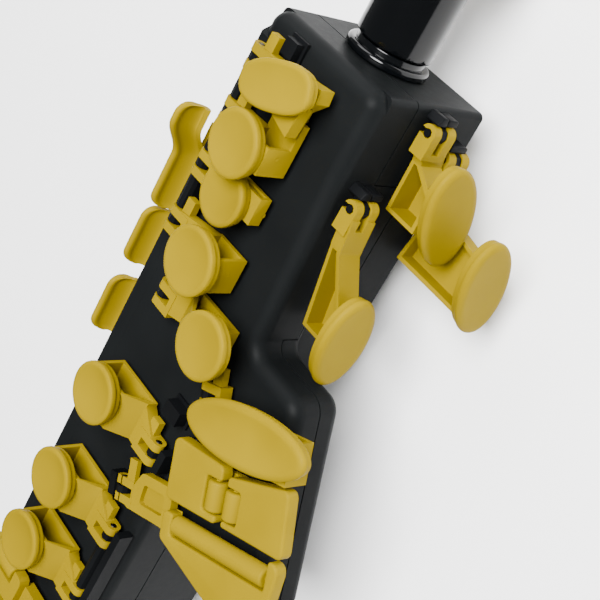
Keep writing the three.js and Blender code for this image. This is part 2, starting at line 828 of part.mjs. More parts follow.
function palmMatrix(k) {
  const basis = new THREE.Matrix4().makeBasis(axisY.clone().negate(), axisZ.clone().negate(), axisX);
  return basis.setPosition(side + k.stand, palmY(k), face - k.depth);
}

// Palm key in its own frame: X down the arm, Y to the back, Z out of the side face
function palmKey(k) {
  const roof = k.padTop - pad.thick;
  const [near, far] = [k.open[0][0], k.open[1][0]];
  const riseFrom = (inset) => Math.max(k.riseFrom, near + inset);
  const profile = (inset) => prism([
    [near + inset, k.floorFrom + inset],
    [far - inset, k.floorTo + inset],
    [far - inset, roof - inset],
    ...rise(riseFrom(inset), k.riseTo + inset, k.armHigh - inset, roof - inset).reverse(),
    [near + inset, k.armHigh - inset],
  ], "y", -bodyDepth, bodyDepth);
  const plan = prism([...k.open, ...k.closed], "z", -bodyDepth, bodyDepth);
  const opening = prism([
    [k.open[0][0] - overrun, k.open[0][1] - bodyDepth],
    [k.open[1][0] + overrun, k.open[1][1] - bodyDepth],
    [k.closed[0][0] + overrun, k.closed[0][1] - skin],
    [k.closed[1][0] - overrun, k.closed[1][1] - skin],
  ], "z", -bodyDepth, bodyDepth);
  const nose = fingerOutline(palmHook.radius, hinge.slotDepth + hinge.root);
  const fingers = prism(nose, "y", -palmHook.outer, palmHook.outer);
  const arm = prism([
    [hinge.root, -palmHook.outer],
    [hinge.root, palmHook.outer],
    [near + skin / 2, k.closed[1][1]],
    [near + skin / 2, k.open[0][1]],
  ], "z", k.floorFrom, k.armHigh);
  const touch = dishedPad({ ...k, padTop: k.padTop + hinge.height });
  const slot = block(-palmHook.radius - overrun, hinge.slotDepth, -palmHook.inner, palmHook.inner,
    -palmHook.radius - overrun, palmHook.radius + overrun);
  const reach = palmHook.outer + overrun;
  const bore = cylinder([0, -reach, 0], [0, reach, 0], palmPin.radius + gap);
  const mouth = block(-palmHook.mouth / 2, palmHook.mouth / 2, -reach, reach,
    -palmHook.radius - overrun, 0);
  const box = profile(0).intersect(plan).subtract(profile(skin).intersect(opening));
  return cut(join(fingers, arm, box, touch), slot, bore, mouth);
}

function frontShell() {
  const seats = keySeats.map(({ open, matrix }) => placed(open > 0 ? keyLug() : railedLug(), matrix));
  for (const name of Object.keys(pinkyKeys)) {
    seats.push(placed(railedLug(), framed(rightHingeX, hingeY[name], hingeZ, Math.PI)));
  }
  for (const { name, matrix } of keySeats) {
    if (stops[name]) seats.push(placed(tabStop(stops[name]), matrix));
  }
  seats.push(...rodCovers(leftHingeX, ["front_f_key", "b_key", "bis_key", "a_key"]));
  seats.push(...rodCovers(rightHingeX, ["e_key", "d_key", "low_e_flat_key", "low_c_key"]));
  seats.push(block(rightHingeX + lug.railNear, rightHingeX + lug.railFar,
    hingeY.low_c_key - lug.railHigh, hingeY.e_key + lug.railHigh, hingeZ - lugDown, hingeZ + lug.railTop));
  const flatSeat = new THREE.Vector3(lowBFlat.hingeU, lowBFlat.hingeV, 0).applyMatrix4(tableMatrix);
  seats.push(placed(railedLug(), framed(flatSeat.x, flatSeat.y, hingeZ, tableTurn)));
  seats.push(...tableLugs().map((solid) => placed(solid, tableMatrix)));
  seats.push(placed(palmPost(palmKeys.palm_key_3), palmMatrix(palmKeys.palm_key_3)));
  for (const [low, high] of sideLugs) {
    const [from, to] = [sideY + low, sideY + high];
    seats.push(cylinder([sideRodX, from, sideRodZ], [sideRodX, to, sideRodZ], lug.radius));
    seats.push(block(sideRodX, -side + wall / 2, from, to, sideRodZ - lug.radius, sideRodZ + lug.radius));
  }
  const bosses = screwPlaces.map(([x, y]) => (
    cylinder([x, y, boardTop + gap], [x, y, face - wall / 2], boss.frontR)
  ));
  const pilots = screwPlaces.map(([x, y]) => (
    cylinder([x, y, boardBottom], [x, y, screwTip + gap], screw.radius + gap)
  ));
  const bores = Object.keys(pinPlaces).map(pinBore);
  const shell = hollowCase().intersect(frontOfParting(0));
  return cut(join(shell, ...seats, ...bosses), ...pilots, ...bores, neckHole());
}

function neckHole() {
  const radius = collar.tubeR + gap;
  return turned([[0, -wall - overrun], [radius, -wall - overrun], [radius, overrun], [0, overrun]]);
}

// Openings of the bottom end: charging socket, headphone socket and power button
function socketHoles() {
  const low = bottomEnd - overrun;
  const high = bottomEnd + wall + overrun;
  return [
    block(usb.x - usb.width / 2 - gap, usb.x + usb.width / 2 + gap, low, high,
      usbZ - usb.height / 2 - gap, usbZ + usb.height / 2 + gap),
    cylinder([jack.x, low, jackZ], [jack.x, high, jackZ], jack.noseR + gap),
    cylinder([button.x, low, buttonZ], [button.x, high, buttonZ], button.radius + gap, padSides),
  ];
}

function rearShell() {
  const shell = hollowCase().subtract(frontOfParting(gap));
  const tubes = screwPlaces.map(([x, y]) => (
    cylinder([x, y, wall / 2], [x, y, boardBottom - gap], boss.rearR)
  ));
  const recesses = screwPlaces.map(([x, y]) => (
    cylinder([x, y, -overrun], [x, y, screwHeadZ + gap], screw.headR + boss.headSlack)
  ));
  const shafts = screwPlaces.map(([x, y]) => cylinder([x, y, 0], [x, y, boardTop], screw.radius + gap));
  const posts = [palmKeys.palm_key_1, palmKeys.palm_key_2].map((k) => placed(palmPost(k), palmMatrix(k)));
  const ears = [-1, 1].map((way) => {
    const outer = way * octave.half;
    const inner = way * (octave.half - 2 * skin);
    const [from, to] = [Math.min(outer, inner), Math.max(outer, inner)];
    return join(
      cylinder([from, octaveY, octaveZ], [to, octaveY, octaveZ], octave.knuckleR),
      block(from, to, octaveY - octave.knuckleR, octaveY + octave.knuckleR, octaveZ, wall / 2),
    );
  });
  const whole = join(shell, ...tubes, ...posts, ...ears);
  return cut(whole, ...recesses, ...shafts, ...socketHoles(), neckHole(), pinBore("octave_pin"));
}

// Neck and mouthpiece, turned about the neck's axis
const shankStart = gap + collar.flangeLength + collar.neckLength + gap;
function neckCollar() {
  const inner = -wall - collar.tubeLength;
  return turned([
    [tenon.radius + gap, inner],
    [collar.lipR, inner],
    [collar.lipR, -wall - gap],
    [collar.tubeR, -wall - gap],
    [collar.tubeR, gap],
    [collar.flangeR - gap, gap],
    [collar.flangeR, 2 * gap],
    [collar.flangeR, collar.flangeLength - gap],
    [collar.flangeR - 2 * gap, collar.flangeLength + gap],
    [collar.neckR, collar.flangeLength + gap],
    [collar.neckR, collar.flangeLength + collar.neckLength],
    [tenon.radius + gap, collar.flangeLength + collar.neckLength],
    [tenon.radius + gap, inner],
  ]);
}

function neckTenon() {
  const { radius, bore, reach, inside, nippleR, nippleBore, nippleLength } = tenon;
  const seat = cork.start - gap;
  return turned([
    [nippleBore, -inside - nippleLength],
    [nippleR, -inside - nippleLength],
    [nippleR, -inside],
    [radius, -inside],
    [radius, seat],
    [cork.seatR, seat],
    [cork.seatR, seat + cork.length + 2 * gap],
    [radius, seat + cork.length + 2 * gap],
    [radius, reach],
    [bore, reach],
    [bore, -inside + skin],
    [nippleBore, -inside + skin],
    [nippleBore, -inside - nippleLength],
  ]);
}

function tenonCork() {
  return turned([
    [cork.seatR + gap, cork.start],
    [cork.radius - gap, cork.start],
    [cork.radius, cork.start + 2 * gap],
    [cork.radius, cork.start + cork.length - 2 * gap],
    [cork.radius - gap, cork.start + cork.length],
    [cork.seatR + gap, cork.start + cork.length],
    [cork.seatR + gap, cork.start],
  ]);
}

const neckY = (distance) => topEnd + distance;
const shankY = (distance) => neckY(shankStart) + distance;
const tableZ = neckHeight - table.drop;

function mouthpieceBody() {
  const m = mouthpiece;
  const outer = turned([
    [0, shankStart],
    [m.radius - 2 * gap, shankStart],
    [m.radius, shankStart + 2 * gap],
    [m.radius, shankStart + m.taperStart],
    [m.tipR, shankStart + mouthpieceLength],
    [0, shankStart + mouthpieceLength],
  ]);
  const bore = turned([
    [0, shankStart - overrun],
    [cork.radius + m.boreSlack, shankStart - overrun],
    [cork.radius + m.boreSlack, shankStart + m.boreDeep],
    [m.chamberR, shankStart + m.boreDeep],
    [m.chamberR, shankStart + m.chamberDeep],
    [0, shankStart + m.chamberDeep],
  ]);
  const tipZ = neckHeight - beak.tipDrop;
  const beakCut = prism([
    [shankY(beak.start), neckHeight + m.radius],
    [shankY(mouthpieceLength) + overrun, tipZ],
    [shankY(mouthpieceLength) + overrun, neckHeight + m.radius + overrun],
    [shankY(beak.start), neckHeight + m.radius + overrun],
  ], "x", -m.radius - overrun, m.radius + overrun);
  const tableCut = block(-m.radius, m.radius, shankY(reed.start) - gap,
    shankY(mouthpieceLength) + overrun, neckHeight - m.radius - overrun, tableZ);
  const window = prism([
    [shankY(table.windowStart), tableZ - overrun],
    [shankY(table.windowEnd), tableZ - overrun],
    [shankY(table.windowEnd), neckHeight - table.tipCeiling],
    [shankY(table.windowStart) + table.ceiling, neckHeight + table.ceiling],
    [shankY(table.windowStart), neckHeight + table.ceiling],
  ], "x", -table.windowHalf, table.windowHalf);
  return cut(outer, bore, beakCut, tableCut, window);
}

function reedBlade() {
  const top = tableZ - gap;
  const end = shankY(mouthpieceLength - reed.endInset);
  return prism([
    [shankY(reed.start), top],
    [end, top],
    [end, top - reed.tip],
    [shankY(reed.cutStart), top - reed.thick],
    [shankY(reed.start), top - reed.thick],
  ], "x", -reed.halfWidth, reed.halfWidth);
}

function ligatureRing() {
  const start = shankStart + ligature.start;
  const end = start + ligature.length;
  const outerR = ligature.bore + ligature.skin;
  const ring = turned([
    [ligature.bore, start],
    [outerR, start],
    [outerR, end],
    [ligature.bore, end],
    [ligature.bore, start],
  ]);
  const lugTop = neckHeight - ligature.bore - ligature.skin / 2;
  const lugs = [-1, 1].map((way) => {
    const near = (way * ligature.lugGap) / 2;
    const far = way * (ligature.lugGap / 2 + ligature.lugWidth / 2);
    const [from, to] = [Math.min(near, far), Math.max(near, far)];
    return block(from, to, neckY(start), neckY(end), lugTop - ligature.lugHeight, lugTop);
  });
  const bores = ligatureScrewY().map((y) => {
    const z = lugTop - ligature.lugHeight / 2 - gap;
    return cylinder([-ligature.lugWidth, y, z], [ligature.lugWidth, y, z], ligatureScrew.radius + gap);
  });
  return cut(join(ring, ...lugs), ...bores);
}

function ligatureScrewY() {
  const start = neckY(shankStart + ligature.start);
  return [start + ligatureScrew.inset, start + ligature.length - ligatureScrew.inset];
}

function ligatureScrewSolid(y) {
  const z = neckHeight - ligature.bore - ligature.skin / 2 - ligature.lugHeight / 2 - gap;
  const seat = ligature.lugGap / 2 + ligature.lugWidth / 2 + gap;
  const { radius, headR, headLength, boss: collarLength } = ligatureScrew;
  return join(
    cylinder([-seat, y, z], [seat + collarLength, y, z], radius),
    cylinder([seat, y, z], [seat + collarLength + skin, y, z], headR - skin / 2),
    cylinder([seat + collarLength, y, z], [seat + collarLength + headLength, y, z], headR, neckSides),
  );
}

// Keys of the pinky table, in the table's frame, heights from the key face
function tablePlate(corners) {
  return prism(rounded(corners), "z", face + plate.low, face + plate.high);
}

function rollerAxis(along, place, from, to) {
  const z = face + roller.axisHeight;
  return along === "v" ? [[place, from, z], [place, to, z]] : [[from, place, z], [to, place, z]];
}

function tableRoller(along, place, from, to) {
  const [start] = rollerAxis(along, place, from, to);
  const [stubStart, stubEnd] = rollerAxis(along, place, from - roller.stubReach, to + roller.stubReach);
  const profile = [[0, 0], [roller.radius - roller.edge, 0], [roller.radius, roller.edge],
    [roller.radius, to - from - roller.edge], [roller.radius - roller.edge, to - from], [0, to - from]];
  const barrel = new THREE.LatheGeometry(profile.map(([r, d]) => new THREE.Vector2(r, d)), neckSides / 2);
  if (along === "u") barrel.rotateZ(-Math.PI / 2);
  barrel.translate(...start);
  return join(solidOf(barrel), cylinder(stubStart, stubEnd, roller.stubR));
}

function rollerBore(along, place, from, to) {
  const reach = roller.stubReach + gap;
  const [start, end] = rollerAxis(along, place, from - reach, to + reach);
  return cylinder(start, end, roller.stubR + gap);
}

function tableKnuckle(from, to) {
  const axis = face + tableRod.height;
  return join(
    cylinder([tableRod.u, from, axis], [tableRod.u, to, axis], tableRod.knuckleR),
    block(tableRod.u - tableRod.postHalf, tableRod.u + tableRod.postHalf,
      from, to, axis, face + plate.low + gap),
  );
}

const rollerSpan = (low, high) => [low + roller.slack, high - roller.slack];

function lowCSharpKey() {
  const k = cSharp;
  const [from, to] = rollerSpan(k.notchLow, k.notchHigh);
  const body = join(
    tablePlate([
      [k.left, k.low, plate.cornerR],
      [k.right, k.low, plate.cornerR],
      [k.right, k.topRight, plate.cornerR],
      [k.left, k.topLeft, plate.cornerR],
    ]),
    ...k.knuckles.map(([low, high]) => tableKnuckle(low, high)),
  );
  const notch = block(k.notchLeft, k.right + overrun, k.notchLow, k.notchHigh, face, face + padHeight);
  return cut(body, notch, rollerBore("v", k.rollerU, from, to), pinBoreLocal("table_rod"));
}

function lowBKey() {
  const k = lowB;
  const [from, to] = rollerSpan(k.notchLow, k.notchHigh);
  const axis = face + tableRod.height;
  const body = join(
    tablePlate([
      [k.left, k.lowLeft, plate.cornerR],
      [k.rightLow, k.lowRight, plate.cornerR],
      [k.rightTop, k.topRight, plate.cornerR],
      [k.left, k.topLeft, plate.cornerR],
    ]),
    cylinder([tableRod.u, k.knuckle[0], axis], [tableRod.u, k.knuckle[1], axis], tableRod.knuckleR),
    block(tableRod.u, k.armTo, ...k.armEdge, face + k.armLow, face + k.armHigh),
    block(k.left + 2 * gap, k.armTo, ...k.armEdge,
      face + k.armLow + skin / 2, face + plate.low + gap),
  );
  const notch = block(k.left - overrun, k.notchRight, k.notchLow, k.notchHigh, face, face + padHeight);
  return cut(body, notch, rollerBore("v", k.rollerU, from, to), pinBoreLocal("table_rod"));
}

function lowBFlatKey() {
  const k = lowBFlat;
  const [from, to] = rollerSpan(k.notchLeft, k.notchRight);
  const fingers = placed(
    prism(fingerOutline(hinge.knuckleR, loop.neck - k.hingeU), "y", -hinge.fingerOuter, hinge.fingerOuter),
    framed(k.hingeU, k.hingeV, hingeZ, 0),
  );
  const [low, high] = [face + loop.under, face + loop.over];
  const ring = prism(rounded([
    [loop.start, loop.low, loop.outerR],
    [loop.end, loop.low, loop.outerR],
    [loop.end, loop.high, loop.outerR],
    [loop.top, loop.high, loop.outerR],
    [loop.neck, loop.shoulder, loop.innerR],
    [loop.start, loop.shoulder, loop.innerR],
  ]), "z", low, high);
  const recess = prism(rounded([
    [loop.top + gap, loop.low + loop.bar, loop.innerR],
    [loop.end - loop.bar, loop.low + loop.bar, loop.innerR],
    [loop.end - loop.bar, loop.high - loop.bar, loop.innerR],
    [loop.top + loop.bar / 2, loop.high - loop.bar, loop.innerR],
  ]), "z", low + skin, high + overrun);
  const body = join(
    tablePlate([
      [k.left, k.topLeft, k.topLeftR],
      [k.right, k.topRight, k.topRightR],
      [k.footRight, k.footV, k.cornerR],
      [k.footLeft, k.leftV, plate.cornerR],
    ]),
    fingers,
    ring,
    block(loop.end - loop.bar, k.joinTo, loop.low, k.topLeft - 2 * skin, low, face + k.joinTop),
    block(loop.start, loop.neck, k.hingeV + hinge.fingerOuter - skin, loop.high + 2 * skin,
      low + skin, high),
  );
  const slot = block(-hinge.knuckleR - overrun, k.hingeU + hinge.slotDepth,
    k.hingeV - hinge.fingerInner, k.hingeV + hinge.fingerInner, face, face + padHeight);
  const notch = block(k.notchLeft, k.notchRight, k.notchLow, k.topLeft + 2 * plate.cornerR,
    face, face + padHeight);
  const bores = [rollerBore("u", k.rollerV, from, to), pinBoreLocal("low_b_flat_pin")];
  return cut(body, recess, slot, notch, ...bores);
}

function pinBoreLocal(name) {
  const { from, to } = pinPlaces[name];
  return cylinder([from[0], from[1] - overrun, from[2]], [to[0], to[1] + overrun, to[2]], boreR);
}

// Pinky keys of the right hand, in their own frame like the lever keys
function pinkyKey(k) {
  const [low, high] = [plate.low - hinge.height, plate.high - hinge.height];
  const { from, to, rollerFrom, rollerTo, rollerInset, joinFrom } = pinkyPlate;
  const arm = block(hinge.slotDepth, from + skin, -hinge.fingerOuter, hinge.fingerOuter, keyFloor, armTop);
  const riser = block(joinFrom, to - plate.cornerR, -hinge.fingerInner, hinge.fingerInner,
    keyFloor, low + gap);
  const touch = prism(rounded([
    [from, k.plateLow, plate.cornerR],
    [to, k.plateLow, plate.cornerR],
    [to, k.plateHigh, plate.cornerR],
    [from, k.plateHigh, plate.cornerR],
  ]), "z", low, high);
  const edge = k.notchAt > 0 ? k.plateHigh : k.plateLow;
  const inner = edge - k.notchAt * (rollerInset + roller.radius + roller.slack - skin);
  const outer = edge + k.notchAt * overrun;
  const notch = block(rollerFrom, rollerTo, Math.min(inner, outer), Math.max(inner, outer),
    low - hinge.height, padHeight);
  const place = edge - k.notchAt * (rollerInset - skin);
  const z = roller.axisHeight - hinge.height;
  const reach = roller.stubReach + gap - roller.slack;
  const stubs = cylinder([rollerFrom - reach, place, z], [rollerTo + reach, place, z],
    roller.stubR + gap);
  return cut(join(hingeFingers(), arm, riser, touch), notch, stubs, hingeSlot(), hingeBore());
}

// Side key: a bent touch that runs along Y outside the left side face, Y from the side keys' own place
function sideKey(k) {
  const t = sideTouch;
  const at = (out, high) => [sideRodX - out, sideRodZ + high];
  const touch = prism([
    at(-lug.radius / 2, 0),
    at(-lug.radius / 2, t.footHigh),
    at(t.footOut, t.bendHigh),
    at(t.topOut - t.thick, t.topHigh),
    at(t.topOut, t.topHigh),
    at(t.bendOut, t.bendHigh - t.thick),
    at(lug.radius, 0),
  ], "y", k.low, k.high);
  const pieces = [touch];
  if (k.flare > 0) {
    const base = sideRodZ;
    pieces.push(prism([
      [k.high - k.flare, base + flare.startLow],
      [k.high + flare.low, base + flare.startHigh],
      [k.high + flare.low, base + flare.topHigh],
      [k.high + flare.low - flare.crown, base + flare.topHigh],
      [k.high - k.flare, base + flare.startHigh],
    ], "x", sideRodX - t.topOut, sideRodX - t.topOut + t.thick));
  }
  const relief = sideLugs.map(([low, high]) => (
    block(sideRodX - lug.radius - gap, -side, low - gap, high + gap,
      sideRodZ - boreR - overrun, sideRodZ + lug.radius + gap)
  ));
  const knuckles = k.knuckles.map(([low, high]) => (
    cylinder([sideRodX, low, sideRodZ], [sideRodX, high, sideRodZ], lug.radius)
  ));
  const bore = cylinder([sideRodX, sideRod.low, sideRodZ],
    [sideRodX, k.high + flare.low + overrun, sideRodZ], boreR);
  return cut(join(...pieces, ...knuckles), ...relief, bore);
}

function octaveKey() {
  const o = octave;
  const inner = o.half - 2 * skin - gap;
  const touch = prism(rounded([
    [-o.touchHalf, octaveY - o.touchFar, plate.cornerR],
    [o.touchHalf, octaveY - o.touchFar, plate.cornerR],
    [o.touchHalf, octaveY - o.touchNear, plate.cornerR],
    [-o.touchHalf, octaveY - o.touchNear, plate.cornerR],
  ]), "z", -o.low - skin, -o.high);
  const arm = block(-inner, inner, octaveY - o.touchNear - skin, octaveY, -o.low, -o.high);
  const knuckle = cylinder([-inner, octaveY, octaveZ], [inner, octaveY, octaveZ], o.knuckleR);
  const bore = cylinder([-o.touchHalf, octaveY, octaveZ], [o.touchHalf, octaveY, octaveZ], boreR);
  return cut(join(touch, arm, knuckle), bore);
}

function thumbRestSolid() {
  const { radius, height, edge } = thumbRest;
  const profile = [[0, gap], [radius, gap], [radius, height - edge], [radius - edge, height],
    [0, height - edge / 2]];
  const geometry = new THREE.LatheGeometry(profile.map(([r, h]) => new THREE.Vector2(r, h)), padSides);
  return solidOf(geometry.rotateX(-Math.PI / 2).translate(0, topEnd - thumbRest.fromTop, 0));
}

function strapRing() {
  const s = strap;
  const y = hingeY.g_key - s.belowG;
  const base = prism(rounded([
    [-s.baseWidth / 2, y - s.baseLength / 2, s.baseHigh],
    [s.baseWidth / 2, y - s.baseLength / 2, s.baseHigh],
    [s.baseWidth / 2, y + s.baseLength / 2, s.baseHigh],
    [-s.baseWidth / 2, y + s.baseLength / 2, s.baseHigh],
  ]), "z", -s.baseHigh - gap, -gap);
  const ring = new THREE.TorusGeometry(s.ringR, s.wireR, pinSides / 2, padSides);
  ring.rotateY(Math.PI / 2).translate(0, y, -s.ringOut);
  return join(base, solidOf(ring));
}

// Hook that the right thumb carries the instrument by, open towards the bottom end
function thumbHook() {
  const h = hook;
  const y = hingeY.f_key - h.belowF;
  const base = prism(rounded([
    [-h.baseHalf, y - h.baseLength / 2, h.baseHigh],
    [h.baseHalf, y - h.baseLength / 2, h.baseHigh],
    [h.baseHalf, y + h.baseLength / 2, h.baseHigh],
    [-h.baseHalf, y + h.baseLength / 2, h.baseHigh],
  ]), "z", -h.baseHigh - gap, -gap);
  const armY = y + h.baseLength / 2 - h.baseHigh;
  const outline = rounded([
    [armY, -h.baseHigh, 0],
    [armY, -h.armOut, h.bendR],
    [armY - h.reach, -h.armOut, h.thick / 2 - gap / 2],
    [armY - h.reach, -h.armOut + h.thick, h.thick / 2 - gap / 2],
    [armY - h.thick, -h.armOut + h.thick, h.bendR - h.thick],
    [armY - h.thick, -h.baseHigh, 0],
  ]);
  return join(base, prism(outline, "x", -h.baseHalf + skin, h.baseHalf - skin));
}

// Inside pieces
function mainBoard() {
  const low = bottomEnd + wall + board.endSlack;
  const halfWidth = side - wall - board.sideSlack;
  const panel = block(-halfWidth, halfWidth, low, topEnd - board.fromTop, boardBottom, boardTop);
  const switchY = bottomEnd + button.length - button.proud + buttonSwitch.travel;
  const switchHalf = buttonSwitch.width / 2;
  const tact = block(button.x - switchHalf, button.x + switchHalf, switchY,
    switchY + buttonSwitch.length, buttonZ - switchHalf, boardBottom + board.thick / 2);
  const holes = screwPlaces.map(([x, y]) => (
    cylinder([x, y, boardBottom - overrun], [x, y, boardTop + overrun], screw.radius + gap)
  ));
  return cut(join(panel, tact), ...holes);
}

function batteryPack() {
  const low = bottomEnd + battery.fromBottom;
  const bottom = wall + gap;
  return block(-battery.halfWidth, battery.halfWidth, low, low + battery.length,
    bottom, bottom + battery.thick);
}

function breathSensor() {
  const high = tenonInnerY() - sensor.portLength;
  const low = high - sensor.length;
  const body = block(-sensor.width / 2, sensor.width / 2, low, high, sensorBottom, boardBottom - gap);
  const port = cylinder([0, high - overrun, neckHeight],
    [0, high + sensor.portLength - gap, neckHeight], sensor.portR);
  const bore = cylinder([0, high, neckHeight], [0, high + sensor.portLength, neckHeight], sensor.portBore);
  return cut(join(body, port), bore);
}

const tenonInnerY = () => neckY(-tenon.inside - tenon.nippleLength);

function breathTube() {
  const from = -tenon.inside - tenon.nippleLength - sensor.portLength + gap;
  const to = -tenon.inside - gap;
  const { bore, radius } = tube;
  return turned([[bore, from], [radius, from], [radius, to], [bore, to], [bore, from]]);
}

function usbSocket() {
  const mouth = bottomEnd + wall / 2;
  const half = [usb.width / 2, usb.height / 2];
  const shell = block(usb.x - half[0], usb.x + half[0], mouth, mouth + usb.length,
    usbZ - half[1], usbZ + half[1]);
  const hollow = block(usb.x - half[0] + usb.skin, usb.x + half[0] - usb.skin, mouth - overrun,
    mouth + usb.length - usb.skin, usbZ - half[1] + usb.skin, usbZ + half[1] - usb.skin);
  const tongue = block(usb.x - half[0] / 2, usb.x + half[0] / 2, mouth + usb.skin, mouth + usb.length,
    usbZ - usb.skin / 2, usbZ + usb.skin / 2);
  return join(shell.subtract(hollow), tongue);
}

function headphoneJack() {
  const mouth = bottomEnd + wall + gap;
  const body = block(jack.x - jack.width / 2, jack.x + jack.width / 2, mouth, mouth + jack.length,
    jackZ - jack.height / 2, jackZ + jack.height / 2);
  const nose = cylinder([jack.x, bottomEnd + gap, jackZ], [jack.x, mouth + overrun, jackZ], jack.noseR);
  const bore = cylinder([jack.x, bottomEnd, jackZ],
    [jack.x, mouth + jack.length - overrun, jackZ], jack.bore);
  return cut(join(body, nose), bore);
}

function powerButton() {
  const out = bottomEnd - button.proud;
  const flangeY = bottomEnd + wall + gap;
  return join(
    cylinder([button.x, out, buttonZ], [button.x, out + button.length, buttonZ], button.radius, padSides),
    cylinder([button.x, flangeY, buttonZ], [button.x, flangeY + button.flangeLength, buttonZ],
      button.flangeR, padSides),
  );
}

function bodyScrew(x, y) {
  return join(
    cylinder([x, y, screwHeadZ - screw.headLength / 2], [x, y, screwTip], screw.radius),
    cylinder([x, y, screwHeadZ - screw.headLength], [x, y, screwHeadZ], screw.headR),
  );
}

// The instrument
const instrument = new THREE.Group();

function addPiece(name, solid, finish, parent = instrument) {
  const mesh = new THREE.Mesh(geometryOf(solid), finish);
  mesh.name = name;
  parent.add(mesh);
  return mesh;
}

// A group placed by a matrix, for pieces made in their own frame
function seatGroup(matrix) {
  const group = new THREE.Group();
  matrix.decompose(group.position, group.quaternion, group.scale);
  instrument.add(group);
  return group;
}

addPiece("front_shell", frontShell(), black);
addPiece("rear_shell", rearShell(), black);
addPiece("neck_collar", neckCollar(), gloss);
addPiece("neck_tenon", neckTenon(), gloss);
addPiece("tenon_cork", tenonCork(), corkFinish);
addPiece("mouthpiece", mouthpieceBody(), gloss);
addPiece("reed", reedBlade(), cane);
addPiece("ligature", ligatureRing(), steel);
ligatureScrewY().forEach((y, i) => addPiece(`ligature_screw_${i + 1}`, ligatureScrewSolid(y), steel));

for (const { name, key, matrix, open } of keySeats) {
  const solid = name === "front_f_key" ? frontFKey(key) : leverKey(key, open);
  addPiece(name, solid, yellow, seatGroup(matrix));
}
const pinkyTable = seatGroup(tableMatrix);
addPiece("low_c_sharp_key", lowCSharpKey(), yellow, pinkyTable);
addPiece("low_b_key", lowBKey(), yellow, pinkyTable);
addPiece("low_b_flat_key", lowBFlatKey(), yellow, pinkyTable);
const tableRollers = [
  ["v", cSharp.rollerU, cSharp.notchLow, cSharp.notchHigh],
  ["v", lowB.rollerU, lowB.notchLow, lowB.notchHigh],
  ["u", lowBFlat.rollerV, lowBFlat.notchLeft, lowBFlat.notchRight],
];
tableRollers.forEach(([along, place, low, high], i) => {
  const solid = tableRoller(along, place, ...rollerSpan(low, high));
  addPiece(`table_roller_${i + 1}`, solid, yellow, pinkyTable);
});

Object.entries(pinkyKeys).forEach(([name, k], i) => {
  const seat = seatGroup(framed(rightHingeX, hingeY[name], 0, Math.PI));
  const touch = addPiece(name, pinkyKey(k), yellow, seat);
  touch.position.z = hingeZ;
  const edge = k.notchAt > 0 ? k.plateHigh : k.plateLow;
  const place = edge - k.notchAt * (pinkyPlate.rollerInset - skin);
  const span = rollerSpan(pinkyPlate.rollerFrom, pinkyPlate.rollerTo);
  addPiece(`pinky_roller_${i + 1}`, tableRoller("u", place, ...span), yellow, seat);
});
for (const [name, k] of Object.entries(palmKeys)) {
  addPiece(name, palmKey(k), yellow, seatGroup(palmMatrix(k)));
}
const sideGroup = seatGroup(framed(0, sideY, 0, 0));
for (const [name, k] of Object.entries(sideKeys)) addPiece(name, sideKey(k), yellow, sideGroup);
addPiece("octave_key", octaveKey(), yellow);
for (const [name, { from, to, turned: inTable }] of Object.entries(pinPlaces)) {
  addPiece(name, cylinder(from, to, pinR), steel, inTable ? pinkyTable : instrument);
}

addPiece("thumb_rest", thumbRestSolid(), black);
addPiece("thumb_hook", thumbHook(), black);
addPiece("strap_ring", strapRing(), steel);
addPiece("main_board", mainBoard(), boardFinish);
addPiece("battery_pack", batteryPack(), foil);
addPiece("breath_sensor", breathSensor(), black);
addPiece("breath_tube", breathTube(), silicone);
addPiece("usb_socket", usbSocket(), steel);
addPiece("headphone_jack", headphoneJack(), black);
addPiece("power_button", powerButton(), black);
screwPlaces.forEach(([x, y], i) => addPiece(`body_screw_${i + 1}`, bodyScrew(x, y), steel));

export default instrument;
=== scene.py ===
"""Digital wind controller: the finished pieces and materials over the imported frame.

All sizes are typed in millimetres and turned into metres when a mesh is made.
The frame is the CAD's: +X right of the keys, +Y towards the mouthpiece, +Z out of the key face.
Its origin is the middle of the case's flat back.
"""

import json
import math

import bmesh
import bpy
import numpy as np
from mathutils import Matrix, Vector


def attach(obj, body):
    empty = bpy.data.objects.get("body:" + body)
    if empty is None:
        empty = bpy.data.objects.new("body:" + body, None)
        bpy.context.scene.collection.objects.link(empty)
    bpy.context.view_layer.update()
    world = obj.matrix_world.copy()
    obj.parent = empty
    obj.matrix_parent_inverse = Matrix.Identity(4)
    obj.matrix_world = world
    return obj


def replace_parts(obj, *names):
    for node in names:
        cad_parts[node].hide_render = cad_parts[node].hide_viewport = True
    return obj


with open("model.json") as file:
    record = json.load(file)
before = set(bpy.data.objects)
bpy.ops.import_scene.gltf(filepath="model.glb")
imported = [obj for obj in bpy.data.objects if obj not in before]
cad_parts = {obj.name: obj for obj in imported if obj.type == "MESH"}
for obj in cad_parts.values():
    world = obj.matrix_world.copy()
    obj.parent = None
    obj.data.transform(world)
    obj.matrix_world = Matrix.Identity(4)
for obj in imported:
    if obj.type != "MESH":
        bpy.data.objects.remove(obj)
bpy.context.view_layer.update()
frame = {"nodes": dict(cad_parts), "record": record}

MM = 0.001
FAR = math.inf
FACE = 47.5
TOP_END = 127.5
NECK_Z = 22.0
SIDE = 26.0
WALL = 2.2
HINGE_Z = 51.8
TABLE_TURN = math.radians(23.5)
# Angles in degrees over which an edge is shaded sharp
SHARP_ANGLE = 38.0
ROUND_ANGLE = 50.0
SHELL_ANGLE = 30
MOUTH_ANGLE = 32
CASE_SCREWS = ((-16.5, 91), (16.5, 91), (-16.5, -112), (16.5, -112))
BUTTON_X, BUTTON_Z = -12, 24.2

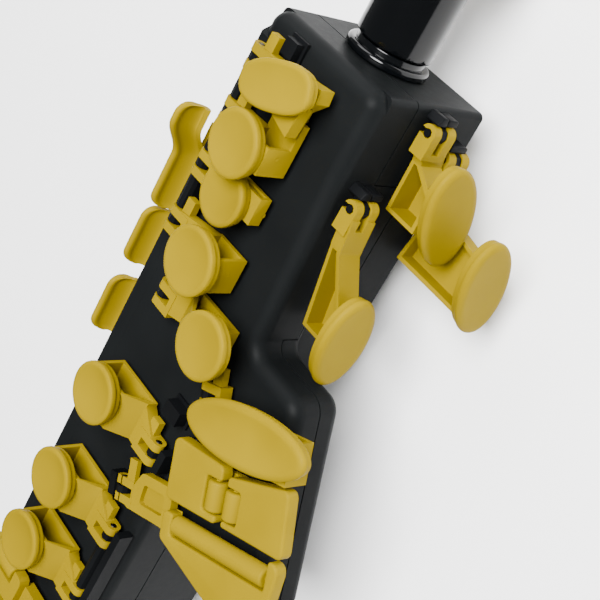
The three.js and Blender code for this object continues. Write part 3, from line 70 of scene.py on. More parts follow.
# Distance in metres within which two points are one
DOUBLES = 0.000002
FLAT_ANGLE = math.radians(0.6)
BEVEL_ANGLE = math.radians(32)
TOUCH_STEPS = 96
TOUCH_THICK = 4.4
RIM_FALL = 0.62

CAMERA_PLACE = (0.23435, 0.2234, 0.3105)
CAMERA_RIGHT = (0.56344, 0.44884, -0.69360)
CAMERA_UP = (-0.62207, 0.78296, 0.00134)
CAMERA_AHEAD = (-0.54366, -0.43071, -0.72036)
CAMERA_LENS = 76.98

X = np.array([1.0, 0.0, 0.0])
Y = np.array([0.0, 1.0, 0.0])
Z = np.array([0.0, 0.0, 1.0])
TABLE_U = np.array([math.cos(TABLE_TURN), math.sin(TABLE_TURN), 0.0])
TABLE_V = np.array([-math.sin(TABLE_TURN), math.cos(TABLE_TURN), 0.0])
NECK = np.array([0, TOP_END, NECK_Z])
SQUARE = ((-1, -1), (1, -1), (1, 1), (-1, 1))


def new_object(name, data):
    made = bpy.data.objects.new(name, data)
    bpy.context.scene.collection.objects.link(made)
    return made


def new_mesh(name, points, faces):
    """Mesh from an array of points in millimetres and a list of faces."""
    mesh = bpy.data.meshes.new(name)
    mesh.from_pydata((np.asarray(points, float) * MM).tolist(), [], [list(map(int, f)) for f in faces])
    return mesh


def turned_axes(angle):
    """Directions X and Y turned about Z."""
    return (np.array([math.cos(angle), math.sin(angle), 0]),
            np.array([-math.sin(angle), math.cos(angle), 0]))


# Camera

def set_camera():
    """Photograph's viewpoint; the columns of the matrix are its right, up and back directions."""
    data = bpy.data.cameras.new("camera")
    data.lens = CAMERA_LENS
    data.sensor_width = 36.0
    data.sensor_fit = "HORIZONTAL"
    data.clip_start = 0.01
    camera = new_object("camera", data)
    turn = Matrix([[CAMERA_RIGHT[i], CAMERA_UP[i], -CAMERA_AHEAD[i]] for i in range(3)]).to_4x4()
    camera.matrix_world = Matrix.Translation(CAMERA_PLACE) @ turn
    bpy.context.scene.camera = camera


# Materials

class Nodes:
    """Shader of one finish, with short calls to add and link its nodes."""

    def __init__(self, name):
        self.material = bpy.data.materials.new(name)
        self.material.use_nodes = True
        self.tree = self.material.node_tree
        self.shader = self.tree.nodes["Principled BSDF"]
        self.place = self.add("ShaderNodeTexCoord").outputs["Object"]

    def add(self, kind, **settings):
        node = self.tree.nodes.new(kind)
        for key, value in settings.items():
            setattr(node, key, value)
        return node

    def link(self, start, end):
        self.tree.links.new(start, end)

    def noise(self, scale, detail=3.0, roughness=0.5, stretch=(1, 1, 1)):
        place = self.add("ShaderNodeMapping")
        place.inputs["Scale"].default_value = stretch
        self.link(self.place, place.inputs["Vector"])
        node = self.add("ShaderNodeTexNoise")
        node.inputs["Scale"].default_value = scale
        node.inputs["Detail"].default_value = detail
        node.inputs["Roughness"].default_value = roughness
        self.link(place.outputs["Vector"], node.inputs["Vector"])
        return node.outputs["Fac"]

    def ramp(self, value, stops):
        node = self.add("ShaderNodeValToRGB")
        ramp = node.color_ramp
        ramp.elements[0].position, ramp.elements[0].color = stops[0][0], (*stops[0][1], 1)
        ramp.elements[1].position, ramp.elements[1].color = stops[-1][0], (*stops[-1][1], 1)
        for at, colour in stops[1:-1]:
            ramp.elements.new(at).color = (*colour, 1)
        self.link(value, node.inputs["Fac"])
        return node.outputs["Color"]

    def span(self, value, low, high):
        node = self.add("ShaderNodeMapRange")
        node.inputs["To Min"].default_value = low
        node.inputs["To Max"].default_value = high
        self.link(value, node.inputs["Value"])
        return node.outputs["Result"]

    def bump(self, height, distance, strength=1.0, after=None):
        node = self.add("ShaderNodeBump")
        node.inputs["Distance"].default_value = distance
        node.inputs["Strength"].default_value = strength
        self.link(height, node.inputs["Height"])
        if after is not None:
            self.link(after, node.inputs["Normal"])
        self.link(node.outputs["Normal"], self.shader.inputs["Normal"])
        return node.outputs["Normal"]


def moulded(name, deep, light, rough, grain_scale, grain_depth, soft=0.0, gloss=0.5):
    """Moulded plastic: slow colour drift, fine grain, and a faint wave where the mould flowed."""
    n = Nodes(name)
    drift = n.noise(scale=38, detail=2)
    n.link(n.ramp(drift, [(0.3, deep), (0.7, light)]), n.shader.inputs["Base Color"])
    n.link(n.span(n.noise(scale=420, detail=4), rough[0], rough[1]), n.shader.inputs["Roughness"])
    wave = n.bump(n.noise(scale=60, detail=1), distance=0.00006, strength=0.35)
    grain = n.noise(grain_scale, detail=2, roughness=0.6)
    n.bump(grain, grain_depth, strength=0.5, after=wave)
    n.shader.inputs["Specular IOR Level"].default_value = gloss
    if soft:
        n.shader.inputs["Subsurface Weight"].default_value = soft
        n.shader.inputs["Subsurface Radius"].default_value = (0.004, 0.0024, 0.0004)
        n.shader.inputs["Subsurface Scale"].default_value = 0.5
    return n.material


def metal(name, colour, rough):
    """Plated steel with fine turning marks."""
    n = Nodes(name)
    n.shader.inputs["Metallic"].default_value = 1.0
    darker = [c * 0.86 for c in colour]
    n.link(n.ramp(n.noise(scale=90, detail=3), [(0.2, darker), (0.8, colour)]), n.shader.inputs["Base Color"])
    n.link(n.span(n.noise(scale=900, detail=3), rough * 0.7, rough * 1.4), n.shader.inputs["Roughness"])
    marks = n.noise(scale=1500, detail=2, roughness=0.5, stretch=(1, 0.15, 1))
    n.bump(marks, distance=0.000008, strength=0.5)
    return n.material


def pressed_cork():
    """Pressed cork: brown grains with dark flecks and a rough face."""
    n = Nodes("pressed_cork")
    grains = n.add("ShaderNodeTexVoronoi")
    grains.inputs["Scale"].default_value = 900
    n.link(n.place, grains.inputs["Vector"])
    browns = [(0.0, (0.16, 0.075, 0.03)), (0.35, (0.36, 0.20, 0.09)), (1.0, (0.52, 0.33, 0.16))]
    n.link(n.ramp(grains.outputs["Color"], browns), n.shader.inputs["Base Color"])
    n.shader.inputs["Roughness"].default_value = 0.85
    n.bump(grains.outputs["Distance"], distance=0.0001, strength=0.6)
    return n.material


def bare_cane():
    """Cane reed: pale straw with fibres along its length."""
    n = Nodes("bare_cane")
    fibres = n.noise(scale=700, detail=4, roughness=0.6, stretch=(1, 0.04, 1))
    straw = [(0.25, (0.50, 0.34, 0.12)), (0.75, (0.74, 0.58, 0.30))]
    n.link(n.ramp(fibres, straw), n.shader.inputs["Base Color"])
    n.shader.inputs["Roughness"].default_value = 0.55
    n.bump(fibres, distance=0.00003, strength=0.5)
    return n.material


def laminate():
    """Green circuit board with fine copper traces under the resist."""
    n = Nodes("board_laminate")
    brick = n.add("ShaderNodeTexBrick")
    brick.inputs["Scale"].default_value = 260
    brick.inputs["Color1"].default_value = (0.012, 0.10, 0.035, 1)
    brick.inputs["Color2"].default_value = (0.016, 0.13, 0.045, 1)
    brick.inputs["Mortar"].default_value = (0.03, 0.20, 0.07, 1)
    n.link(n.place, brick.inputs["Vector"])
    n.link(brick.outputs["Color"], n.shader.inputs["Base Color"])
    n.link(n.span(n.noise(scale=300), 0.3, 0.5), n.shader.inputs["Roughness"])
    return n.material


YELLOW = moulded("key_yellow", (0.154, 0.105, 0.0), (0.182, 0.125, 0.0), rough=(0.44, 0.54),
                 grain_scale=1500, grain_depth=0.00001, gloss=0.03)
CASE = moulded("case_black", (0.0037, 0.0042, 0.0044), (0.0049, 0.0055, 0.0057), rough=(0.42, 0.54),
               grain_scale=2600, grain_depth=0.00004, gloss=0.032)
GLOSS = moulded("polished_black", (0.0008, 0.0010, 0.0012), (0.0011, 0.0014, 0.0017), rough=(0.08, 0.14),
                grain_scale=900, grain_depth=0.000004, gloss=0.22)
SMALL = moulded("small_black_parts", (0.0022, 0.0025, 0.0028), (0.0034, 0.0037, 0.0041), rough=(0.40, 0.52),
                grain_scale=2200, grain_depth=0.00002, gloss=0.03)
STEEL = metal("plated_steel", (0.60, 0.60, 0.59), rough=0.26)
PIN = metal("blackened_steel", (0.030, 0.030, 0.032), rough=0.34)
CORK = pressed_cork()
CANE = bare_cane()
BOARD = laminate()
WRAP = moulded("battery_wrap", (0.035, 0.055, 0.11), (0.05, 0.075, 0.14), rough=(0.3, 0.45),
               grain_scale=800, grain_depth=0.00002)
TUBE = moulded("silicone_tube", (0.42, 0.47, 0.49), (0.50, 0.56, 0.58), rough=(0.4, 0.55),
               grain_scale=900, grain_depth=0.00002, soft=0.3)
SLOT_FINISH = {
    "key_plastic": YELLOW, "case_plastic": CASE, "gloss_black": GLOSS, "steel": STEEL, "cork": CORK,
    "cane": CANE, "board": BOARD, "battery_wrap": WRAP, "silicone": TUBE,
}
NODE_SLOT = {entry["node"]: entry["material_slot"] for entry in frame["record"]["subparts"]}


# Meshes

def body_of_node(node):
    for body, nodes in frame["record"]["behaviour"]["bodies"].items():
        if node in nodes:
            return body
    raise KeyError(node)


def shade(mesh, angle=SHARP_ANGLE):
    mesh.shade_smooth()
    mesh.set_sharp_from_angle(angle=math.radians(angle))


def set_finish(mesh, finish):
    mesh.materials.clear()
    mesh.materials.append(finish)


def add_piece(name, form, node, finish=None, angle=SHARP_ANGLE):
    """Piece from a form's points and faces, on the body and in the slot of its CAD node."""
    mesh = new_mesh(name, *form)
    set_finish(mesh, finish or SLOT_FINISH[NODE_SLOT[node]])
    piece = new_object(name, mesh)
    merge(piece)
    shade(mesh, angle)
    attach(piece, body_of_node(node))
    return piece


def replace_node(name, form, node, finish=None, angle=SHARP_ANGLE):
    """Piece made by add_piece that is shown instead of its CAD node."""
    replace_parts(add_piece(name, form, node, finish, angle), node)


def merge(piece):
    """Joins doubled points and turns the faces outward."""
    work = bmesh.new()
    work.from_mesh(piece.data)
    bmesh.ops.remove_doubles(work, verts=work.verts, dist=DOUBLES)
    bmesh.ops.dissolve_degenerate(work, edges=work.edges, dist=DOUBLES / 2)
    bmesh.ops.recalc_face_normals(work, faces=work.faces)
    if work.calc_volume(signed=True) < 0:
        bmesh.ops.reverse_faces(work, faces=work.faces)
    work.to_mesh(piece.data)
    work.free()


def ring_faces(rows, cols):
    """Quads of a grid whose columns close on themselves."""
    i, j = np.meshgrid(np.arange(rows - 1), np.arange(cols), indexing="ij")
    k = (j + 1) % cols
    return np.stack([i * cols + j, i * cols + k, (i + 1) * cols + k, (i + 1) * cols + j], -1).reshape(-1, 4)


def lofted(levels, caps=True):
    """Closed outlines, one row per level, joined by quads; the end outlines are capped."""
    rows, cols = levels.shape[:2]
    faces = [list(f) for f in ring_faces(rows, cols)]
    if caps:
        faces.append(list(range(cols))[::-1])
        faces.append(list(range((rows - 1) * cols, rows * cols)))
    return levels.reshape(-1, 3), faces


def turned(profile, base, axis, side, steps=72):
    """Surface of revolution of a profile of radii and distances along the axis from base."""
    profile = np.asarray(profile, float)
    axis, side = np.asarray(axis, float), np.asarray(side, float)
    other = np.cross(axis, side)
    t = np.linspace(0, 2 * math.pi, steps, endpoint=False)
    around = np.cos(t)[:, None] * side + np.sin(t)[:, None] * other
    rows = base + profile[:, 1, None, None] * axis + profile[:, 0, None, None] * around[None]
    return lofted(rows, caps=False)


def quarter(radius, low, high, steps=6):
    """Insets and heights of a slab's side whose two edges are quarter circles."""
    t = np.linspace(0, math.pi / 2, steps)
    inset = radius * (1 - np.sin(t))
    rise = radius * (1 - np.cos(t))
    return np.concatenate([np.stack([inset, low + rise], 1), np.stack([inset, high - rise], 1)[::-1]])


def outline(corners, inset=0.0, steps=10):
    """Closed outline whose corners [x, y, radius] are arcs; inset moves each arc in about its middle."""
    corners = np.asarray(corners, float)
    here, radius = corners[:, :2], corners[:, 2]
    before = np.roll(here, 1, 0) - here
    after = np.roll(here, -1, 0) - here
    before /= np.linalg.norm(before, axis=1)[:, None]
    after /= np.linalg.norm(after, axis=1)[:, None]
    half = np.arccos(np.clip((before * after).sum(1), -1, 1)) / 2
    bisector = (before + after) / np.linalg.norm(before + after, axis=1)[:, None]
    middle = here + bisector * (radius / np.sin(half))[:, None]
    first = here + before * (radius / np.tan(half))[:, None] - middle
    last = here + after * (radius / np.tan(half))[:, None] - middle
    convex = before[:, 0] * after[:, 1] - before[:, 1] * after[:, 0] < 0
    sweep = np.arctan2(first[:, 0] * last[:, 1] - first[:, 1] * last[:, 0], (first * last).sum(1))
    t = np.linspace(0, 1, steps)[None] * sweep[:, None]
    turn = np.stack([np.cos(t) * first[:, 0:1] - np.sin(t) * first[:, 1:2],
                     np.sin(t) * first[:, 0:1] + np.cos(t) * first[:, 1:2]], -1)
    scale = (radius + np.where(convex, -inset, inset)) / radius
    return (middle[:, None] + turn * scale[:, None, None]).reshape(-1, 2)


def slab(corners, levels, u=X, v=Y, w=Z, steps=10):
    """Rounded outline carried through the levels [inset, height], in the directions u, v and w."""
    rows = []
    for inset, height in levels:
        flat = outline(corners, inset, steps)
        rows.append(flat[:, 0:1] * u + flat[:, 1:2] * v + height * w)
    return lofted(np.stack(rows))


def touch(centre, u, v, w, long_half, short_half, dish=0.75, rim=1.3, egg=0.0, square=2.0):
    """Oval touch: outlines |a/A|^n + |b/B|^n = 1 about the centre, up the side, over the rim, into the dish.

    The exponent n is square; the half width along v swells with egg times the cosine of the angle,
    which blunts the end along u. Half way down the side a step sets the lower part back a little.
    """
    t = np.linspace(0, 2 * math.pi, TOUCH_STEPS, endpoint=False)
    ca = np.sign(np.cos(t)) * np.abs(np.cos(t)) ** (2 / square)
    sa = np.sign(np.sin(t)) * np.abs(np.sin(t)) ** (2 / square)
    swell = 1 + egg * np.cos(t)
    low, step = -TOUCH_THICK, -TOUCH_THICK / 2
    side = [[1.3, low], [0.65, low + 0.3], [0.5, low + 0.9],
            [0.5, step - 0.3], [0.42, step - 0.1], [0.08, step + 0.1], [0.0, step + 0.3]]
    bend = np.linspace(0, math.pi / 2, 7)
    side += [[rim * (1 - math.cos(b)), -rim * RIM_FALL * (1 - math.sin(b))] for b in bend]
    rows = [(0.0, 0.0, low)]
    rows += [(long_half - inset, short_half - inset, height) for inset, height in side]
    for s in np.linspace(0.94, 0.0, 9):
        rows.append(((long_half - rim) * s, (short_half - rim) * s, -dish * (1 - s * s)))
    levels = [centre + (a * ca)[:, None] * u + (b * sa * swell)[:, None] * v + height * w
              for a, b, height in rows]
    return lofted(np.stack(levels), caps=False)


def cut_to_box(work, low, high):
    """Removes what lies outside the box and fills the cuts; an infinite side cuts nothing."""
    for axis in range(3):
        normal = Vector([float(axis == k) for k in range(3)])
        for at, way in ((low[axis], -1), (high[axis], 1)):
            if not math.isfinite(at):
                continue
            found = bmesh.ops.bisect_plane(
                work, geom=work.verts[:] + work.edges[:] + work.faces[:], dist=1e-7,
                plane_co=normal * float(at), plane_no=normal * way, clear_outer=True)
            rim = [e for e in found["geom_cut"] if isinstance(e, bmesh.types.BMEdge)]
            if rim:
                bmesh.ops.holes_fill(work, edges=rim, sides=0)


def soft_copy(name, node, boxes=None, width=0.35, finish=None):
    """Copy of a CAD node for each box, cut to it, with its sharp edges rounded by width."""
    parts = boxes or [None]
    copies = []
    for number, box in enumerate(parts):
        mesh = frame["nodes"][node].data.copy()
        work = bmesh.new()
        work.from_mesh(mesh)
        bmesh.ops.remove_doubles(work, verts=work.verts, dist=2 * DOUBLES)
        if box is not None:
            cut_to_box(work, np.array(box[0]) * MM, np.array(box[1]) * MM)
        bmesh.ops.dissolve_limit(work, angle_limit=FLAT_ANGLE, verts=work.verts, edges=work.edges)
        bmesh.ops.recalc_face_normals(work, faces=work.faces)
        work.to_mesh(mesh)
        work.free()
        set_finish(mesh, finish or SLOT_FINISH[NODE_SLOT[node]])
        suffix = f"_{number + 1}" if len(parts) > 1 else ""
        copy = new_object(name + suffix, mesh)
        shade(mesh)
        bevel = copy.modifiers.new("edges", "BEVEL")
        bevel.width = width * MM
        bevel.segments = 2
        bevel.limit_method = "ANGLE"
        bevel.angle_limit = BEVEL_ANGLE
        bevel.use_clamp_overlap = True
        bevel.harden_normals = True
        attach(copy, body_of_node(node))
        copies.append(copy)
    return copies


def replace_by_copy(name, node, high=(FAR, FAR, FAR), width=0.35):
    """Softened copy of what lies below the limits in high, shown instead of its CAD node."""
    boxes = None if min(high) == FAR else [((-FAR, -FAR, -FAR), high)]
    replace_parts(soft_copy(name, node, boxes, width)[0], node)


def solid(name, points, faces):
    """Closed helper mesh that is only used to cut or join another one."""
    helper = new_object(name, new_mesh(name, points, faces))
    merge(helper)
    return helper


def box_solid(low, high):
    corners = [[(low[0], high[0])[i & 1], (low[1], high[1])[i >> 1 & 1], (low[2], high[2])[i >> 2]]
               for i in range(8)]
    faces = [[0, 1, 3, 2], [4, 6, 7, 5], [0, 4, 5, 1], [2, 3, 7, 6], [0, 2, 6, 4], [1, 5, 7, 3]]
    return solid("cutter", corners, faces)


def rod_solid(start, axis, length, radius, steps=40):
    side = Z if abs(axis[2]) < 0.9 else X
    profile = [[0, 0], [radius, 0], [radius, length], [0, length]]
    return solid("cutter", *turned(profile, np.array(start, float), axis, side, steps))


def combine(target, tool, how):
    """Target joined with, cut by or limited to the tool, which is then removed."""
    change = target.modifiers.new("cut", "BOOLEAN")
    change.object = tool
    change.operation = how
    change.solver = "EXACT"
    made = bpy.data.meshes.new_from_object(target.evaluated_get(bpy.context.evaluated_depsgraph_get()))
    target.modifiers.clear()
    target.data = made
    bpy.data.objects.remove(tool)
    return target


# Case

BACK_CORNER, EDGE_CORNER = 2.0, 5.4
BACK_FILLET, EDGE_FILLET, WING_FILLET = 1.0, 5.0, 4.7
FRONT_FROM = FACE - EDGE_FILLET
WING_LOW, WING_ROOM_LOW = FACE - 20.2, FACE - 18
HAIR = 0.02
OUTLINE_STEPS = 9
# The parting line lies at PARTING_Z, higher on the wing and lower at a tongue on the right side
PARTING_Z, WING_PARTING_Z, TONGUE_Z = 31, 37.3, 16
WING_LINE, SHOULDER_Y = 28.25, 46.5
TONGUE_X, TONGUE_Y = 19.5, (58, 100)
PARTING_STEP = 0.45
NECK_HOLE_R = 8.8
SCREW_HOLE_R = 3.1
# Openings of the lower end: x and z of the charging socket's edges, x, z and radius of the round ones
SOCKET_X, SOCKET_Z = (-1.8, 7.8), (25.2, 29.1)
ROUND_OPENINGS = ((14.5, 25.8, 3.2), (BUTTON_X, BUTTON_Z, 3.8))
WING_CORNERS = [
    [6, -40, 5.5], [25.5, -40, 5.5], [25.5, -28, 4.5], [82.6, -28, 8],
    [54.1, 42, 7], [30.5, 42, 4.5], [25.5, 106, 5.5], [6, 106, 5.5],
]


def case_corners(radius):
    return [[x * SIDE, y * TOP_END, radius] for x, y in SQUARE]


def wing_slab(shrink, fillet, low, high):
    """Wing with rounded edges, its top a hair below the case's so that no two faces lie in one plane."""
    levels = quarter(fillet, low, high, 8) + np.array([[shrink, -HAIR]])
    return solid("wing_slab", *slab(WING_CORNERS, levels, steps=OUTLINE_STEPS))


def level(radius, inset, height):
    """The case's outline at a height."""
    flat = outline(case_corners(radius), inset, OUTLINE_STEPS)
    return np.c_[flat, np.full(len(flat), height)]


def outer_form():
    """Case from back to front: nearly sharp back, square corners, rounded front and square left edge."""
    back = quarter(BACK_FILLET, 0, FACE, 5)[:5]
    rows = [level(BACK_CORNER, inset, height) for inset, height in back]
    rows.append(level(BACK_CORNER, back[-1][0], FRONT_FROM))
    rows += [level(EDGE_CORNER, inset, height) for inset, height in quarter(EDGE_FILLET, 0, FACE, 10)[10:]]
    whole = solid("case_form", *lofted(np.stack(rows)))
    combine(whole, wing_slab(0, WING_FILLET, WING_LOW, FACE), "UNION")
    left, crest = -SIDE - HAIR, FACE + HAIR
    strip = [[left, 41, 123.2], [-20, 41, 123.2], [-20, crest, 118], [-25.5, crest, 118],
             [left, FACE - 0.5, 118.4]]
    points = [[x, way * half_length, z] for way in (-1, 1) for x, z, half_length in strip]
    faces = [[0, 1, 2, 3, 4], [9, 8, 7, 6, 5]] + [[i, 5 + i, 5 + (i + 1) % 5, (i + 1) % 5] for i in range(5)]
    return combine(whole, solid("square_edge", points, faces), "UNION")


def inner_form():
    """Room inside the walls of the case and the wing."""
    fillet = EDGE_FILLET - WALL
    shift = np.array([[WALL, 0.0]])
    levels = quarter(fillet, WALL, FACE - WALL, 8) + shift
    room = solid("case_room", *slab(case_corners(EDGE_CORNER), levels, steps=OUTLINE_STEPS))
    return combine(room, wing_slab(WALL, fillet, WING_ROOM_LOW, FACE - WALL), "UNION")


def front_region(lift):
    """Space in front of the parting line less lift, as four boxes joined."""
    far = 300.0
    region = box_solid((-far, -far, PARTING_Z - lift), (WING_LINE + lift, far, far))
    for low, high in (
        ((0, SHOULDER_Y - lift, PARTING_Z - lift), (far, far, far)),
        ((0, -far, WING_PARTING_Z - lift), (far, far, far)),
        ((TONGUE_X, TONGUE_Y[0] - lift, TONGUE_Z - lift), (far, TONGUE_Y[1] + lift, far)),
    ):
        combine(region, box_solid(low, high), "UNION")
    return region


def finish_shell(shell, name, node):
    shell.name = name
    set_finish(shell.data, CASE)
    work = bmesh.new()
    work.from_mesh(shell.data)
    bmesh.ops.remove_doubles(work, verts=work.verts, dist=1.5 * DOUBLES)
    bmesh.ops.dissolve_degenerate(work, edges=work.edges, dist=1.5 * DOUBLES)
    work.to_mesh(shell.data)
    work.free()
    shade(shell.data, SHELL_ANGLE)
    flat = shell.modifiers.new("flat_faces", "WEIGHTED_NORMAL")
    flat.keep_sharp = True
    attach(shell, "case")
    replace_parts(shell, node)


def make_case():
    """Two hollow shells with their holes, and the lugs and covers that stand on them."""
    hollow = combine(outer_form(), inner_form(), "DIFFERENCE")
    combine(hollow, rod_solid((0, TOP_END - 6, NECK_Z), Y, 12, NECK_HOLE_R, 72), "DIFFERENCE")
    rear = new_object("rear_case", hollow.data.copy())
    front = combine(hollow, front_region(0), "INTERSECT")
    combine(rear, front_region(PARTING_STEP), "DIFFERENCE")
    for x, y in CASE_SCREWS:
        combine(rear, rod_solid((x, y, -2), Z, 8, SCREW_HOLE_R), "DIFFERENCE")
    outside = -TOP_END - 2.5
    socket = box_solid((SOCKET_X[0], outside, SOCKET_Z[0]), (SOCKET_X[1], outside + 10, SOCKET_Z[1]))
    combine(rear, socket, "DIFFERENCE")
    for x, z, radius in ROUND_OPENINGS:
        combine(rear, rod_solid((x, outside, z), Y, 10, radius), "DIFFERENCE")
    finish_shell(front, "front_case", "front_shell")
    finish_shell(rear, "rear_case", "rear_shell")
    soft_copy("front_lugs", "front_shell", [
        ((-FAR, -FAR, FACE + 0.04), (FAR, FAR, FAR)),
        ((-FAR, -FAR, 30), (-26.03, FAR, 46.5)),
        ((27.6, 90, 26), (FAR, 99, 44)),
    ], width=0.3, finish=SMALL)
    soft_copy("rear_lugs", "rear_shell", [
        ((26.01, 109, 2), (FAR, 128, 30)),
        ((-FAR, 108, -FAR), (FAR, 125, -0.01)),
    ], width=0.25, finish=SMALL)


# Keys

# Hinge's x and y, the touch's distances from it along X and Y, its two half widths, its turn in
# degrees and the height of its rim over the face
LEFT = {
    "front_f_key": (-18.5, 112.85, 21.7, 2.1, 14.2, 7.3, 22, 16),
    "b_key": (-18.5, 94.5, 19.6, 0.1, 10.2, 10.2, 0, 18),
    "bis_key": (-18.5, 76, 18.6, 0.4, 9.3, 9.3, 0, 11.3),
    "a_key": (-18.5, 55.4, 25, 1.9, 10.7, 10.7, 0, 18),
    "g_key": (-8.4, 34.2, 34.1, 6.9, 10.4, 10.4, 0, 18),
}
# Hinge's y of the right hand's keys, whose touches are alike
RIGHT = {"f_key": -8.2, "e_key": -45.1, "d_key": -73.8}
RIGHT_X, RIGHT_SHIFT, RIGHT_HALF = -3.9, 5.4, 10.2
RIGHT_TOP = 18
# Middle along the table's u and v, half widths, turn past the table's and height of the G sharp touch
G_SHARP_AT = (61.5, 6.6)
G_SHARP_HALVES = (24.6, 9.3)
G_SHARP_TURN = TABLE_TURN + math.radians(0.5)
G_SHARP_TOP = 15.5
DEEP_DISH = 1.2
WIDE_RIM = 2.2
# Hinge's y, its depth below the face, its stand off the wall, the touch's distances from it down Y
# and Z, its two half widths, its turn in degrees and the height of its rim over the hinge
PALM = {
    "palm_key_1": (121, 26, 3.6, 19, 6, 18.6, 9.8, 32, 15.4),
    "palm_key_2": (113.3, 38.9, 3.6, 23.3, 1.6, 17.5, 9.6, 28, 32.6),
    "palm_key_3": (94.8, 10.2, 5, 35.8, 3.4, 15.8, 9.8, 10, 17.5),
}
ARM_DROP = 4
TOUCH_MARGIN = 0.06


def add_touch(node, centre, u, v, w, long_half, short_half, **shape):
    """Touch a hair wider than the CAD's, so that the arm's corners stay inside it."""
    form = touch(centre, u, v, w, long_half + TOUCH_MARGIN, short_half + TOUCH_MARGIN, **shape)
    add_piece(node + "_touch", form, node, angle=ROUND_ANGLE)


def make_stack_keys():
    """Touches over the key face, each with the CAD's arm cut off below it."""
    for node, (hinge_x, hinge_y, reach, shift, long_half, short_half, turn, top) in LEFT.items():
        u, v = turned_axes(math.radians(turn))
        shape = {"egg": 0.05, "square": 2.5} if node == "front_f_key" else {"dish": DEEP_DISH}
        centre = np.array([hinge_x + reach, hinge_y + shift, FACE + top])
        add_touch(node, centre, u, v, Z, long_half, short_half, **shape)
        replace_by_copy(node + "_arm", node, (FAR, FAR, FACE + top - ARM_DROP))
    for node, hinge_y in RIGHT.items():
        centre = np.array([RIGHT_X, hinge_y + RIGHT_SHIFT, FACE + RIGHT_TOP])
        add_touch(node, centre, X, Y, Z, RIGHT_HALF, RIGHT_HALF, dish=DEEP_DISH)
        replace_by_copy(node + "_arm", node, (FAR, FAR, FACE + RIGHT_TOP - ARM_DROP))
    u, v = turned_axes(G_SHARP_TURN)
    centre = TABLE_U * G_SHARP_AT[0] + TABLE_V * G_SHARP_AT[1] + Z * (FACE + G_SHARP_TOP)
    add_touch("g_sharp_key", centre, u, v, Z, *G_SHARP_HALVES, rim=WIDE_RIM)
    replace_by_copy("g_sharp_key_arm", "g_sharp_key", (FAR, FAR, FACE + G_SHARP_TOP - ARM_DROP))


def make_palm_keys():
    """Touches that look out of the right side, over the CAD's arms."""
    for node, (hinge_y, depth, stand, reach, shift, long_half, short_half, turn, top) in PALM.items():
        a = math.radians(turn)
        u = -math.cos(a) * Y - math.sin(a) * Z
        v = math.sin(a) * Y - math.cos(a) * Z
        crest = SIDE + stand + top
        centre = np.array([crest, hinge_y - reach, FACE - depth - shift])
        add_touch(node, centre, u, v, X, long_half, short_half, dish=0.1, rim=WIDE_RIM)
        replace_by_copy(node + "_arm", node, (crest - ARM_DROP, FAR, FAR))


PLATE_LOW, PLATE_HIGH = FACE + 5.3, FACE + 9.5
PLATE = np.concatenate([quarter(0.25, PLATE_LOW, PLATE_HIGH, 4)[:4],
                        quarter(0.8, PLATE_LOW, PLATE_HIGH, 6)[6:]])
PLATE_ARM_TOP = FACE + 5.5
# Corners [u, v, radius] of the plates with their roller notches, in the table's own directions
TABLE_PLATES = {
    "low_c_sharp_key": [
        [28.2, -24.2, 2.2], [51, -24.2, 1.5], [51, -21.6, 0.9], [44.6, -21.6, 1],
        [44.6, -10.9, 1], [51, -10.9, 1], [51, -6.2, 2.2], [28.2, -4.2, 2.2],
    ],
    "low_b_key": [
        [53.5, -23.9, 1], [79.7, -24.1, 2.2], [77.9, -3.6, 2.2], [53.5, -8.3, 1.4],
        [53.5, -11.4, 1], [59.5, -11.4, 1], [59.5, -21.8, 1], [53.5, -21.8, 0.9],
    ],
    "low_b_flat_key": [
        [28.6, -27.9, 1.6], [28.5, -37.2, 2.2], [74.8, -57.8, 12], [79.5, -25.4, 2.7],
        [74.9, -25.65, 0.9], [74.9, -34.9, 1], [33, -34.9, 1], [33, -28.1, 1],
    ],
}


def make_table_keys():
    """Plates of the little-finger table over the CAD's arms."""
    for node, corners in TABLE_PLATES.items():
        add_piece(node + "_plate", slab(corners, PLATE, TABLE_U, TABLE_V, Z, 8), node)
        replace_by_copy(node + "_arm", node, (FAR, FAR, PLATE_ARM_TOP), width=0.2)


# Start in the plane of the face, direction and length of each roller
ROLLERS = {
    "table_roller_1": (TABLE_U * 48.3 + TABLE_V * -21.0, TABLE_V, 9.5),
    "table_roller_2": (TABLE_U * 56.1 + TABLE_V * -21.2, TABLE_V, 9.2),
    "table_roller_3": (TABLE_U * 33.6 + TABLE_V * -31.3, TABLE_U, 40.7),
    "pinky_roller_1": (np.array([-21.4, -90.4, 0]), X, 14.8),
    "pinky_roller_2": (np.array([-21.4, -117.1, 0]), X, 14.8),
}
ROLLER_Z = FACE + 7.4


def roller_profile(length, radius=3.2, edge=0.9, stub=1.1, stub_length=2.2):
    """Barrel with round edges and a stub axle at each end."""
    t = np.linspace(0, math.pi / 2, 5)
    low = np.stack([radius - edge + edge * np.sin(t), edge - edge * np.cos(t)], 1)
    high = np.stack([radius - edge + edge * np.sin(t), length - edge + edge * np.cos(t)], 1)[::-1]
    return np.concatenate([
        [[0, -stub_length], [stub, -stub_length], [stub, 0]], low, high,
        [[stub, length], [stub, length + stub_length], [0, length + stub_length]]])


def make_rollers():
    for node, (start, axis, length) in ROLLERS.items():
        form = turned(roller_profile(length), start + ROLLER_Z * Z, axis, Z, 48)
        replace_node(node + "_barrel", form, node, angle=ROUND_ANGLE)


# Neck and mouthpiece

MOUTH_START = 5.5
MOUTH_LENGTH = 88
MOUTH_R, TIP_R = 12.25, 8.6
TAPER_FROM = 48.5
BAND_START = MOUTH_START + 25
BAND_LENGTH = 17
BAND_R = 13.6


